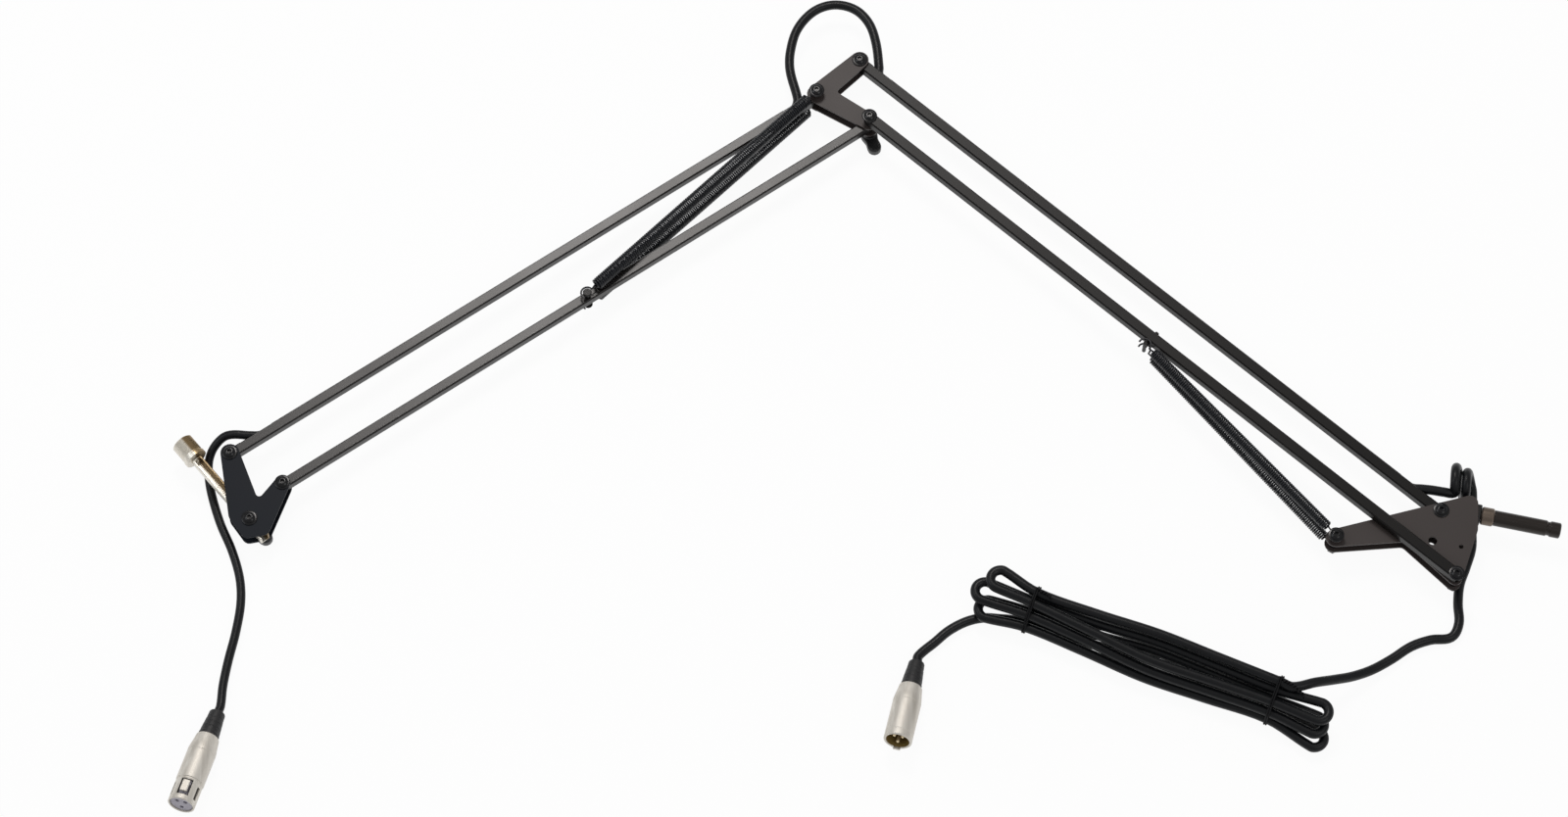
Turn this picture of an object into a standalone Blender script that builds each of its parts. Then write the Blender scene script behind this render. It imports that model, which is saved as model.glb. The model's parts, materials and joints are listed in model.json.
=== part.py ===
"""Spring-balanced two-section boom arm for a desk microphone, laid flat with its cable.

The arm lies in the XY plane on Z = 0, as it lies on a table when it is put away.
All sizes are in millimetres; MM turns them into Blender's metres.
"""
import math

import bmesh
import bpy
import numpy as np
from mathutils import Matrix, Vector
from mathutils.geometry import interpolate_bezier

for item in list(bpy.data.objects):
    bpy.data.objects.remove(item, do_unlink=True)

MM = 0.001
MERGE = 0.00001

# Plan of the arm
BASE_PIVOT = (398.0, -173.4)      # top pivot of the base bracket
LOWER_ARM = 533.0                 # pivot to pivot, both lower tubes
LOWER_TURN = 138.5                # degrees from +X, from the base to the elbow
UPPER_ARM = 496.5                 # pivot to pivot, both upper bars
UPPER_TURN = -145.4               # degrees from +X, from the elbow to the head
LOWER_SPACING = 50.8              # between the two lower tubes' pivots
LOWER_SPACING_TURN = -82.7
UPPER_SPACING = 44.0              # between the two upper bars' pivots
UPPER_SPACING_TURN = -31.0

# Stack of the sheet parts, upwards from the table
REAR_PLATE_LOW = 12.0
PLATE = 1.5
GAP = 0.3                         # air between pieces that rest on each other
LOWER_TUBE = 8.0                  # outside width of the lower square tubes
LOWER_WALL = 0.6
UPPER_BAR = 7.4                   # outside width of the upper square bars
UPPER_WALL = 0.5
TUBE_EDGE = 0.9                   # rounding of a tube's long edges

REAR_PLATE_TOP = REAR_PLATE_LOW + PLATE
TUBE_LOW = REAR_PLATE_TOP + GAP
MIDDLE = TUBE_LOW + LOWER_TUBE / 2
BAR_LOW = MIDDLE - UPPER_BAR / 2
FRONT_PLATE_LOW = TUBE_LOW + LOWER_TUBE + GAP
FRONT_PLATE_TOP = FRONT_PLATE_LOW + PLATE
INNER_TUBE_LOW = FRONT_PLATE_TOP + GAP
INNER_TUBE_TOP = INNER_TUBE_LOW + LOWER_TUBE
INNER_MIDDLE = INNER_TUBE_LOW + LOWER_TUBE / 2

# Fasteners
SHANK = 2.0                       # radius of every M4 bolt
CLEARANCE = 0.3
HOLE = SHANK + CLEARANCE
HEAD_RADIUS = 4.1
HEAD_HEIGHT = 2.8
NUT_RADIUS = 4.05
NUT_HEIGHT = 3.4
NUT_PROUD = 0.6                   # thread that shows past the nut
DOME = ((0.6, 0.3), (1.0, 1.6))   # of a bolt head: share of its radius, drop from its crown
SOCKET_RADIUS = 1.45
SOCKET_DEPTH = 1.2
KNOB_LOBE = 5.0                   # end radius of a clamping knob's wing
KNOB_REACH = 11.5                 # of that radius's centre, from the bolt
KNOB_HUB = 6.2
KNOB_WAIST = (7.0, 7.6, 3.0)      # place and radius of the inward curve beside a wing
KNOB_WINGS = 7.0                  # height of the wings
KNOB_BOSS = 5.4
KNOB_FLOOR = 2.7                  # of the blind bore
KNOB_EDGE = 0.9
BOLT_IN_KNOB = KNOB_FLOOR + GAP
NUT_TOP = REAR_PLATE_LOW - GAP
SHORT_TIP = NUT_TOP - NUT_HEIGHT - NUT_PROUD
EAR = 6.5                         # radius of a plate round a pivot
SPACER_RADIUS = 4.0
ROUND_SIDES = 12                  # of drilled holes and small round pieces

# Cable
CABLE = 6.2                       # diameter
CABLE_RADIUS = CABLE / 2
CABLE_STEP = 13.0                 # between points of a cable's tube
BEND_STEP = 10.0                  # the same where it bends tightly
FLOOR_CABLE = CABLE_RADIUS + 0.05 # height of a cable's centre on the table
SQUARE_END = 2.5                  # straight stretch where a cable meets the next piece

# Springs
SPRING_WIRE = 1.0
SPRING_OUTER = 7.4
SPRING_CURLS = 14
CURL_POINTS = 8
SPRING_NECK = 6.0                 # straight wire between ring and coil
SPRING_AIR = 0.5                  # between a spring and the plate below it
NECK_POINTS = 4                   # over which the coil grows to its full width
RING_FROM = 200                   # degrees, where an end ring opens
RING_STEP = 40
RING_POINTS = 6

FRONT_SPRING = FRONT_PLATE_TOP + SPRING_AIR + SPRING_OUTER / 2
REAR_SPRING = REAR_PLATE_LOW - SPRING_AIR - SPRING_OUTER / 2

BLACK_STEEL = ((0.020, 0.019, 0.021, 1), 0.38, 0.6)
BLACK_ZINC = ((0.015, 0.015, 0.017, 1), 0.30, 0.8)
SPRING_STEEL = ((0.012, 0.012, 0.014, 1), 0.32, 0.8)
NICKEL = ((0.62, 0.58, 0.52, 1), 0.28, 1.0)
BLACK_RUBBER = ((0.012, 0.012, 0.013, 1), 0.55, 0.0)
BLACK_PLASTIC = ((0.018, 0.018, 0.018, 1), 0.45, 0.0)
GREY_PLASTIC = ((0.30, 0.30, 0.36, 1), 0.4, 0.0)
BRASS_BROWN = ((0.16, 0.11, 0.035, 1), 0.4, 0.0)
GOLD = ((0.80, 0.62, 0.30, 1), 0.2, 1.0)

collection = bpy.data.collections.new("microphone_boom_arm")
bpy.context.scene.collection.children.link(collection)
cutter_collection = bpy.data.collections.new("cutters")
bpy.context.scene.collection.children.link(cutter_collection)


def step(point, distance, turn):
    """The plan point a distance away, in the direction of turn degrees from +X."""
    angle = math.radians(turn)
    return (point[0] + distance * math.cos(angle), point[1] + distance * math.sin(angle))


BASE_LOW_PIVOT = step(BASE_PIVOT, LOWER_SPACING, LOWER_SPACING_TURN)
ELBOW_TOP = step(BASE_PIVOT, LOWER_ARM, LOWER_TURN)
ELBOW_LOW = step(BASE_LOW_PIVOT, LOWER_ARM, LOWER_TURN)
ELBOW_LEFT = step(ELBOW_LOW, -UPPER_SPACING, UPPER_SPACING_TURN)
HEAD_TOP = step(ELBOW_LEFT, UPPER_ARM, UPPER_TURN)
HEAD_RIGHT = step(HEAD_TOP, UPPER_SPACING, UPPER_SPACING_TURN)


def material(name, finish):
    """One Principled material: colour, roughness and metallic value."""
    made = bpy.data.materials.new(name)
    made.use_nodes = True
    shader = made.node_tree.nodes["Principled BSDF"]
    colour, roughness, metallic = finish
    shader.inputs["Base Color"].default_value = colour
    shader.inputs["Roughness"].default_value = roughness
    shader.inputs["Metallic"].default_value = metallic
    made.diffuse_color = colour
    return made


def frame(name, pivot, turn=0.0, height=0.0):
    """An empty on a joint's axis, which carries the pieces of one moving body."""
    empty = bpy.data.objects.new(name, None)
    empty.location = (pivot[0] * MM, pivot[1] * MM, height * MM)
    empty.rotation_euler = (0, 0, math.radians(turn))
    empty.empty_display_size = 0.01
    collection.objects.link(empty)
    return empty


def add_object(name, bm, parent, finish, is_cutter=False):
    """Turn a bmesh in millimetres into an object under its frame."""
    bmesh.ops.scale(bm, vec=(MM, MM, MM), verts=bm.verts)
    mesh = bpy.data.meshes.new(name)
    bm.to_mesh(mesh)
    bm.free()
    obj = bpy.data.objects.new(name, mesh)
    obj.parent = parent
    if is_cutter:
        obj.display_type = "WIRE"
        obj.hide_render = True
        cutter_collection.objects.link(obj)
    else:
        collection.objects.link(obj)
        mesh.materials.append(material(name, finish))
        mesh.shade_smooth()
        mesh.set_sharp_from_angle(angle=math.radians(35))
    return obj


def cylinder_into(bm, centre, low, high, radius, sides=ROUND_SIDES):
    """Add an upright cylinder between two heights."""
    place = Matrix.Translation((centre[0], centre[1], (low + high) / 2))
    bmesh.ops.create_cone(bm, cap_ends=True, segments=sides, radius1=radius, radius2=radius,
                          depth=high - low, matrix=place)


def box_into(bm, low, high, turn=0.0, about=(0.0, 0.0)):
    """Add a box between two corners, turned about an upright axis."""
    middle = [(a + b) / 2 for a, b in zip(low, high)]
    size = [b - a for a, b in zip(low, high)]
    pivot = Vector((about[0], about[1], 0))
    place = (Matrix.Translation(pivot) @ Matrix.Rotation(math.radians(turn), 4, "Z")
             @ Matrix.Translation(Vector(middle) - pivot) @ Matrix.Diagonal((*size, 1)))
    bmesh.ops.create_cube(bm, size=1, matrix=place)


def lying_cylinder_into(bm, start, direction, length, radius, sides=ROUND_SIDES):
    """Add a cylinder from a point along any direction."""
    axis = Vector(direction).normalized()
    place = (Matrix.Translation(Vector(start) + axis * length / 2)
             @ axis.to_track_quat("Z", "Y").to_matrix().to_4x4())
    bmesh.ops.create_cone(bm, cap_ends=True, segments=sides, radius1=radius, radius2=radius,
                          depth=length, matrix=place)


def boolean(target, bm, operation="DIFFERENCE"):
    """Cut a piece with, or join it to, the shapes in a bmesh of its own frame."""
    kind = {"DIFFERENCE": "cut", "UNION": "join", "INTERSECT": "trim"}[operation]
    tool = add_object(f"{target.name}_{kind}", bm, target.parent, None, is_cutter=True)
    tool.location = target.location
    tool.rotation_euler = target.rotation_euler
    modifier = target.modifiers.new(kind, "BOOLEAN")
    modifier.operation = operation
    modifier.object = tool
    return tool


def drill(target, holes, low, high):
    """Cut upright holes, each given as (x, y, radius), right through a piece."""
    bm = bmesh.new()
    for x, y, radius in holes:
        cylinder_into(bm, (x, y), low - 1, high + 1, radius)
    boolean(target, bm)


def belt(circles, arc_step=20.0):
    """The outline round circles (x, y, radius); a negative radius bends the belt inwards."""
    count = len(circles)
    headings = []
    for index in range(count):
        x1, y1, r1 = circles[index]
        x2, y2, r2 = circles[(index + 1) % count]
        length = math.hypot(x2 - x1, y2 - y1)
        headings.append(math.atan2(y2 - y1, x2 - x1) + math.asin((r1 - r2) / length))
    points = []
    for index, (x, y, radius) in enumerate(circles):
        start = headings[index - 1] - math.pi / 2
        end = headings[index] - math.pi / 2
        sweep = (end - start) % (2 * math.pi)
        if radius < 0:
            sweep -= 2 * math.pi
        steps = max(1, round(abs(math.degrees(sweep)) / arc_step))
        for number in range(steps + 1):
            angle = start + sweep * number / steps
            points.append((x + radius * math.cos(angle), y + radius * math.sin(angle)))
    return points


def extruded(name, outline, low, high, parent, finish):
    """A flat outline raised between two heights."""
    bm = bmesh.new()
    corners = [bm.verts.new((x, y, low)) for x, y in outline]
    face = bm.faces.new(corners)
    raised = bmesh.ops.extrude_face_region(bm, geom=[face])["geom"]
    bmesh.ops.translate(bm, vec=(0, 0, high - low),
                        verts=[part for part in raised if isinstance(part, bmesh.types.BMVert)])
    bmesh.ops.recalc_face_normals(bm, faces=bm.faces)
    return add_object(name, bm, parent, finish)


def soften(obj, width, segments=1, limit=50):
    """Round a piece's outer edges."""
    bevel = obj.modifiers.new("soft_edges", "BEVEL")
    bevel.width = width * MM
    bevel.segments = segments
    bevel.limit_method = "ANGLE"
    bevel.angle_limit = math.radians(limit)
    return bevel


def turned(name, profile, parent, finish, steps=20):
    """A lathe-turned piece: (radius, height) from its top on the axis down to its foot."""
    mesh = bpy.data.meshes.new(name)
    corners = [(radius * MM, 0, height * MM) for radius, height in profile]
    mesh.from_pydata(corners, [(i, i + 1) for i in range(len(corners) - 1)], [])
    mesh.materials.append(material(name, finish))
    obj = bpy.data.objects.new(name, mesh)
    obj.parent = parent
    collection.objects.link(obj)
    screw = obj.modifiers.new("turned", "SCREW")
    screw.steps = steps
    screw.render_steps = steps
    screw.use_merge_vertices = True
    screw.merge_threshold = MERGE
    return obj


def place(obj, x, y, z=0.0):
    """Set a piece's place in its frame."""
    obj.location = (x * MM, y * MM, z * MM)
    return obj


def aim(obj, start, direction):
    """Stand a turned piece at a point with its +Z along a direction."""
    obj.location = Vector(start) * MM
    obj.rotation_euler = Vector(direction).to_track_quat("Z", "Y").to_euler()
    return obj


def bolt(name, pivot, top, tip, parent):
    """A domed M4 bolt whose head's underside is at top and whose end is at tip."""
    crown = top + HEAD_HEIGHT
    dome = [(HEAD_RADIUS * share, crown - drop) for share, drop in DOME]
    profile = [(0, crown), *dome, (HEAD_RADIUS, top), (SHANK, top), (SHANK, tip), (0, tip)]
    obj = turned(name, profile, parent, BLACK_ZINC, steps=ROUND_SIDES)
    place(obj, *pivot)
    socket = bmesh.new()
    cylinder_into(socket, (0, 0), crown - SOCKET_DEPTH, crown + 1, SOCKET_RADIUS, sides=6)
    boolean(obj, socket)
    return obj


def nut(name, pivot, top, parent):
    """A hexagon nut hanging from a face at height top."""
    bm = bmesh.new()
    cylinder_into(bm, (0, 0), top - NUT_HEIGHT, top, NUT_RADIUS, sides=6)
    obj = add_object(name, bm, parent, BLACK_ZINC)
    place(obj, *pivot)
    drill(obj, [(0, 0, HOLE)], top - NUT_HEIGHT, top)
    return obj


def wing_knob(name, pivot, turn, parent):
    """A moulded two-lobed clamping knob under the rear plate, with a blind bore."""
    x, y, waist = KNOB_WAIST
    outline = belt([(KNOB_REACH, 0, KNOB_LOBE), (x, y, -waist), (0, 0, KNOB_HUB), (-x, y, -waist),
                    (-KNOB_REACH, 0, KNOB_LOBE), (-x, -y, -waist), (0, 0, KNOB_HUB), (x, -y, -waist)],
                   arc_step=26.0)
    wings = extruded(name, outline, 0, KNOB_WINGS, parent, BLACK_PLASTIC)
    wings.rotation_euler = (0, 0, math.radians(turn))
    place(wings, *pivot)
    soften(wings, KNOB_EDGE)
    top = REAR_PLATE_LOW - GAP
    boss = bmesh.new()
    cylinder_into(boss, (0, 0), KNOB_FLOOR, top, KNOB_BOSS, sides=20)
    boolean(wings, boss, "UNION")
    bore = bmesh.new()
    cylinder_into(bore, (0, 0), KNOB_FLOOR, top + 1, HOLE)
    boolean(wings, bore)
    return wings


def plate_pair(prefix, outline, holes, parent):
    """The front and rear sheet plates of a bracket."""
    for side, low in (("front", FRONT_PLATE_LOW), ("rear", REAR_PLATE_LOW)):
        sheet = extruded(f"{prefix}_{side}_plate", outline, low, low + PLATE, parent, BLACK_STEEL)
        drill(sheet, holes, low, low + PLATE)


def square_tube(name, length, size, wall, low, parent, finish, holes, slots):
    """A square tube along +X with round-nosed ends, pivot holes and cable slots.

    A slot is (start, end, side): the stretch where the wall on the +Y or -Y side is open.
    """
    half = size / 2
    outline = belt([(0, 0, half), (length, 0, half)], arc_step=30.0)
    tube = extruded(name, outline, low, low + size, parent, finish)
    soften(tube, TUBE_EDGE, limit=60)
    bore = bmesh.new()
    inner = half - wall
    box_into(bore, (-size, -inner, low + wall), (length + size, inner, low + size - wall))
    boolean(tube, bore)
    if slots:
        window = bmesh.new()
        for start, end, side in slots:
            near, far = sorted((side * (inner - 0.1), side * (half + 1)))
            box_into(window, (start, near, low + wall), (end, far, low + size - wall))
        boolean(tube, window)
        tube.modifiers[-1].name = "cable_windows"
    drill(tube, [(x, 0, HOLE) for x in holes], low, low + size)
    return tube


def smooth_route(points, spacing=CABLE_STEP):
    """Evenly spaced points on the smooth curve through a cable's route."""
    knots = [Vector(point) for point in points]
    tangents = []
    for index in range(len(knots)):
        before = knots[max(index - 1, 0)]
        after = knots[min(index + 1, len(knots) - 1)]
        tangents.append((after - before).normalized())
    dense = [knots[0]]
    for index in range(len(knots) - 1):
        start, end = knots[index], knots[index + 1]
        handle = (end - start).length / 3
        dense += interpolate_bezier(start, start + tangents[index] * handle,
                                    end - tangents[index + 1] * handle, end, 12)[1:]
    lengths = [0.0]
    for first, second in zip(dense, dense[1:]):
        lengths.append(lengths[-1] + (second - first).length)
    count = max(2, round(lengths[-1] / spacing))
    wanted = np.linspace(0, lengths[-1], count + 1)
    table = np.array(dense)
    points = [Vector([np.interp(w, lengths, table[:, axis]) for axis in range(3)]) for w in wanted]
    points.insert(1, knots[0] + tangents[0] * SQUARE_END)
    points.insert(-1, knots[-1] - tangents[-1] * SQUARE_END)
    return points


def wire(name, points, radius, parent, finish, resolution=2):
    """A round cable or wire along points given in the table's own plan."""
    curve = bpy.data.curves.new(name, "CURVE")
    curve.dimensions = "3D"
    curve.bevel_depth = radius * MM
    curve.bevel_resolution = resolution
    curve.use_fill_caps = True
    curve.materials.append(material(name, finish))
    spline = curve.splines.new("POLY")
    spline.points.add(len(points) - 1)
    shift = parent.location / MM if parent else Vector((0, 0, 0))
    for knot, point in zip(spline.points, points):
        knot.co = (*((Vector(point) - shift) * MM), 1)
    obj = bpy.data.objects.new(name, curve)
    obj.parent = parent
    collection.objects.link(obj)
    return obj


def least_self_gap(points, diameter, skip):
    """Least clear gap between turns of a wound form, measured between its points' segments."""
    table = np.array([tuple(point) for point in points])
    fine = [table[0]]
    for first, second in zip(table, table[1:]):
        for share in np.linspace(0, 1, 7)[1:]:
            fine.append(first + (second - first) * share)
    fine = np.array(fine)
    skip *= 6
    least = 1e9
    for index in range(len(fine) - skip):
        least = min(least, np.linalg.norm(fine[index + skip:] - fine[index], axis=1).min())
    return least - diameter


base = frame("base", BASE_PIVOT)
outer_tube = frame("outer_tube_pivot", BASE_PIVOT, LOWER_TURN)
inner_tube = frame("inner_tube_pivot", BASE_LOW_PIVOT, LOWER_TURN)
elbow = frame("elbow_pivot", ELBOW_TOP)
upper_bar = frame("upper_bar_pivot", ELBOW_LEFT, UPPER_TURN)
lower_bar = frame("lower_bar_pivot", ELBOW_LOW, UPPER_TURN)
head = frame("head_pivot", HEAD_TOP)


def from_frame(parent, point):
    """A plan point seen from an unturned frame."""
    return (point[0] - parent.location.x / MM, point[1] - parent.location.y / MM)


# Base bracket: two plates, the block that holds the clamp pin, and their bolts
BASE_TIP = (-74.1, -20.5)         # spring bolt, from the top pivot
BASE_CROOK = (-28.5, -27.6)       # centre of the plates' inward corner, under the inner tube
BASE_SHOULDER = (20.0, -14.0)     # of their rounded corner under the pin
BASE_LOW_EAR = 5.0                # radius round the bottom pivot
BASE_SIGHT_HOLE = (-7.2, -22.8, 3.1)
BASE_RIVET_HOLE = (12.1, -27.2, 1.6)
BLOCK_LENGTH = 17.0
BLOCK_WIDTH = 13.0
PIN_START = (28.0, -1.5)          # where the pin leaves the plates, from the top pivot
PIN_TURN = -12.2
PIN_RADIUS = 5.5
PIN_LENGTH = 55.5
PIN_SPIGOT = 2.9
PIN_SPIGOT_LENGTH = 12.0
PIN_COLLAR = 6.3
PIN_COLLAR_END = 9.0
PIN_CHAMFER = 0.8
PIN_GROOVE = (7.0, 10.0, 0.7)     # its two edges from the pin's free end, and its depth
BLOCK_EDGE = 0.5

base_low = from_frame(base, BASE_LOW_PIVOT)
base_outline = belt([(*BASE_TIP, EAR), (*BASE_CROOK, -4.0), (*base_low, BASE_LOW_EAR), (*BASE_SHOULDER, 4.5),
                     (20.5, 5.5, 5.5)])
base_holes = [(0, 0, HOLE), (*BASE_TIP, HOLE), (*base_low, HOLE), BASE_SIGHT_HOLE, BASE_RIVET_HOLE]
plate_pair("base", base_outline, base_holes, base)

pin_direction = (math.cos(math.radians(PIN_TURN)), math.sin(math.radians(PIN_TURN)), 0)
block_bm = bmesh.new()
block_start = step(PIN_START, -BLOCK_LENGTH, PIN_TURN)
box_into(block_bm, (block_start[0], block_start[1] - BLOCK_WIDTH / 2, TUBE_LOW),
         (block_start[0] + BLOCK_LENGTH, block_start[1] + BLOCK_WIDTH / 2, TUBE_LOW + LOWER_TUBE),
         turn=PIN_TURN, about=block_start)
pin_block = add_object("base_pin_block", block_bm, base, BLACK_STEEL)
soften(pin_block, BLOCK_EDGE)
block_bore = bmesh.new()
bore_start = step(PIN_START, -PIN_SPIGOT_LENGTH - CLEARANCE, PIN_TURN)
lying_cylinder_into(block_bore, (*bore_start, MIDDLE), pin_direction, PIN_SPIGOT_LENGTH + 2,
                    PIN_SPIGOT + CLEARANCE)
boolean(pin_block, block_bore)

groove_start, groove_end, groove_depth = PIN_GROOVE
pin = turned("base_pin", [
    (0, PIN_LENGTH), (PIN_RADIUS - PIN_CHAMFER, PIN_LENGTH), (PIN_RADIUS, PIN_LENGTH - PIN_CHAMFER),
    (PIN_RADIUS, PIN_LENGTH - groove_start),
    (PIN_RADIUS - groove_depth, PIN_LENGTH - groove_start - groove_depth),
    (PIN_RADIUS - groove_depth, PIN_LENGTH - groove_end + groove_depth),
    (PIN_RADIUS, PIN_LENGTH - groove_end), (PIN_RADIUS, PIN_COLLAR_END),
    (PIN_COLLAR, PIN_COLLAR_END - PIN_CHAMFER), (PIN_COLLAR, GAP + PIN_CHAMFER),
    (PIN_COLLAR - PIN_CHAMFER, GAP), (PIN_SPIGOT, GAP), (PIN_SPIGOT, -PIN_SPIGOT_LENGTH),
    (0, -PIN_SPIGOT_LENGTH)], base, BLACK_STEEL, steps=20)
aim(pin, (*PIN_START, MIDDLE), pin_direction)

BIG_BOLT_TOP = INNER_TUBE_TOP + GAP
SPRING_BOLT_TOP = FRONT_SPRING + SPRING_WIRE / 2 + GAP
SPRING_NUT_TOP = REAR_SPRING - SPRING_WIRE / 2 - GAP
bolt("base_top_bolt", (0, 0), FRONT_PLATE_TOP + GAP, SHORT_TIP, base)
nut("base_top_nut", (0, 0), NUT_TOP, base)
bolt("base_bottom_bolt", base_low, BIG_BOLT_TOP, SHORT_TIP, base)
nut("base_bottom_nut", base_low, NUT_TOP, base)
bolt("base_spring_bolt", BASE_TIP, SPRING_BOLT_TOP, 0.0, base)
nut("base_spring_nut", BASE_TIP, SPRING_NUT_TOP, base)
spacer_bm = bmesh.new()
cylinder_into(spacer_bm, (0, 0), TUBE_LOW, TUBE_LOW + LOWER_TUBE, SPACER_RADIUS, sides=16)
spacer = place(add_object("base_tip_spacer", spacer_bm, base, BLACK_ZINC), *BASE_TIP)
drill(spacer, [(0, 0, HOLE)], TUBE_LOW, TUBE_LOW + LOWER_TUBE)

# Where the cable leaves a tube: distance of the bend from the pivot, bend radius and turn
OUTER_ELBOW_EXIT = (24.0, 12.8, 62.0)
OUTER_BASE_EXIT = (35.0, 20.0, 45.0)
UPPER_ELBOW_EXIT = (24.0, 14.0, 60.0)
UPPER_HEAD_EXIT = (33.0, 20.0, 42.0)
EXIT_STRAIGHT = 3.0


def slot_of(exit_sizes):
    """The open stretch of wall that lets the cable bend out, from the pivot."""
    bend, radius, _ = exit_sizes
    return (bend - radius * 1.15, bend + EXIT_STRAIGHT)


def exit_points(pivot, turn, side, exit_sizes):
    """The cable's centre line out of a tube that runs from a pivot at turn degrees."""
    bend, radius, sweep = exit_sizes
    along = Vector((math.cos(math.radians(turn)), math.sin(math.radians(turn)), 0))
    across = Vector((-along.y, along.x, 0)) * side
    start = Vector((*pivot, MIDDLE))
    points = [start + along * (bend + EXIT_STRAIGHT)]
    for number in range(4):
        angle = math.radians(sweep * number / 3)
        points.append(start + along * (bend - radius * math.sin(angle))
                      + across * radius * (1 - math.cos(angle)))
    return points


# Lower arm: the outer tube carries the cable, the inner tube lies in front of the plates
outer_slots = [(*slot_of(OUTER_BASE_EXIT), -1),
               (LOWER_ARM - slot_of(OUTER_ELBOW_EXIT)[1], LOWER_ARM - slot_of(OUTER_ELBOW_EXIT)[0], -1)]
square_tube("outer_tube", LOWER_ARM, LOWER_TUBE, LOWER_WALL, TUBE_LOW, outer_tube, BLACK_STEEL,
            [0, LOWER_ARM], outer_slots)
lower_tube = square_tube("inner_tube", LOWER_ARM, LOWER_TUBE, LOWER_WALL, INNER_TUBE_LOW, inner_tube,
                         BLACK_STEEL, [0, LOWER_ARM], [])


def inside_cable(name, start, end, parent):
    """The straight run of cable inside a tube."""
    bm = bmesh.new()
    lying_cylinder_into(bm, (start, 0, MIDDLE), (1, 0, 0), end - start, CABLE_RADIUS)
    return add_object(name, bm, parent, BLACK_RUBBER)


inside_cable("cable_in_outer_tube", OUTER_BASE_EXIT[0] + EXIT_STRAIGHT + GAP,
             LOWER_ARM - OUTER_ELBOW_EXIT[0] - EXIT_STRAIGHT - GAP, outer_tube)

LOWER_ANCHOR = 270.0              # spring anchor, from the base's lower pivot
ANCHOR_REACH = 8.3                # of the T-bar, from the tube's centre line
ANCHOR_BAR = 1.5
ANCHOR_BACK = 6.0                 # of the same bar, on the tube's other side
ANCHOR_SPREAD = 4.1               # of each spring's ring, above and below the tube's middle
TEE_END = 2.2                     # of the T-bar, past a ring
anchor_bm = bmesh.new()
lying_cylinder_into(anchor_bm, (LOWER_ANCHOR, -ANCHOR_BACK, INNER_MIDDLE), (0, 1, 0),
                    ANCHOR_BACK + ANCHOR_REACH, ANCHOR_BAR)
lower_anchor = add_object("lower_spring_anchor", anchor_bm, inner_tube, BLACK_ZINC)
tee_bm = bmesh.new()
cylinder_into(tee_bm, (LOWER_ANCHOR, ANCHOR_REACH), INNER_MIDDLE - ANCHOR_SPREAD - TEE_END,
              INNER_MIDDLE + ANCHOR_SPREAD + TEE_END, ANCHOR_BAR - 0.1)
boolean(lower_anchor, tee_bm, "UNION")
tube_cross_hole = bmesh.new()
lying_cylinder_into(tube_cross_hole, (LOWER_ANCHOR, -LOWER_TUBE, INNER_MIDDLE), (0, 1, 0),
                    2 * LOWER_TUBE, ANCHOR_BAR + CLEARANCE)
boolean(lower_tube, tube_cross_hole)
lower_tube.modifiers[-1].name = "anchor_hole"


def extension_spring(name, start, end, start_pin, end_pin, parent):
    """A tension spring from ring to ring, as one unbroken wire."""
    first, last = Vector(start), Vector(end)
    axis = (last - first).normalized()
    side = axis.cross(Vector((0, 0, 1))).normalized()
    rise = side.cross(axis)
    flat = Vector((axis.x, axis.y, 0)).normalized()
    flat_side = flat.cross(Vector((0, 0, 1)))
    coil = (SPRING_OUTER - SPRING_WIRE) / 2

    def ring(centre, pin_radius, outward):
        radius = pin_radius + CLEARANCE + SPRING_WIRE / 2
        angles = [math.radians(RING_FROM - RING_STEP * number) for number in range(RING_POINTS)]
        return [centre + flat * outward * radius * math.cos(a) + flat_side * radius * math.sin(a)
                for a in angles]

    opening = ring(first, start_pin, 1)
    closing = ring(last, end_pin, -1)
    from_first = first + axis * (start_pin + SPRING_WIRE + SPRING_NECK)
    to_last = last - axis * (end_pin + SPRING_WIRE + SPRING_NECK)
    length = (to_last - from_first).length
    total = SPRING_CURLS * CURL_POINTS
    wound = []
    for number in range(total + 1):
        share = number / total
        angle = 2 * math.pi * number / CURL_POINTS
        grown = min(1.0, number / NECK_POINTS, (total - number) / NECK_POINTS)
        wound.append(from_first + axis * length * share
                     + (side * math.cos(angle) + rise * math.sin(angle)) * coil * grown)
    points = opening + wound + closing[::-1]
    gap = least_self_gap(wound, SPRING_WIRE, CURL_POINTS - 2)
    print(f"{name}: least gap between curls {gap:.2f} mm")
    return wire(name, points, SPRING_WIRE / 2, parent, SPRING_STEEL, resolution=1)


anchor_plan = step(step(BASE_LOW_PIVOT, LOWER_ANCHOR, LOWER_TURN), ANCHOR_REACH, LOWER_TURN + 90)
tip_plan = (BASE_PIVOT[0] + BASE_TIP[0], BASE_PIVOT[1] + BASE_TIP[1])
inner_plan = frame("inner_tube_plan", BASE_LOW_PIVOT)
lower_bar_plan = frame("lower_bar_plan", ELBOW_LOW)
extension_spring("lower_spring_front", (*tip_plan, FRONT_SPRING),
                 (*anchor_plan, INNER_MIDDLE + ANCHOR_SPREAD), SHANK, ANCHOR_BAR, inner_plan)
extension_spring("lower_spring_rear", (*tip_plan, REAR_SPRING),
                 (*anchor_plan, INNER_MIDDLE - ANCHOR_SPREAD), SHANK, ANCHOR_BAR, inner_plan)

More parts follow.
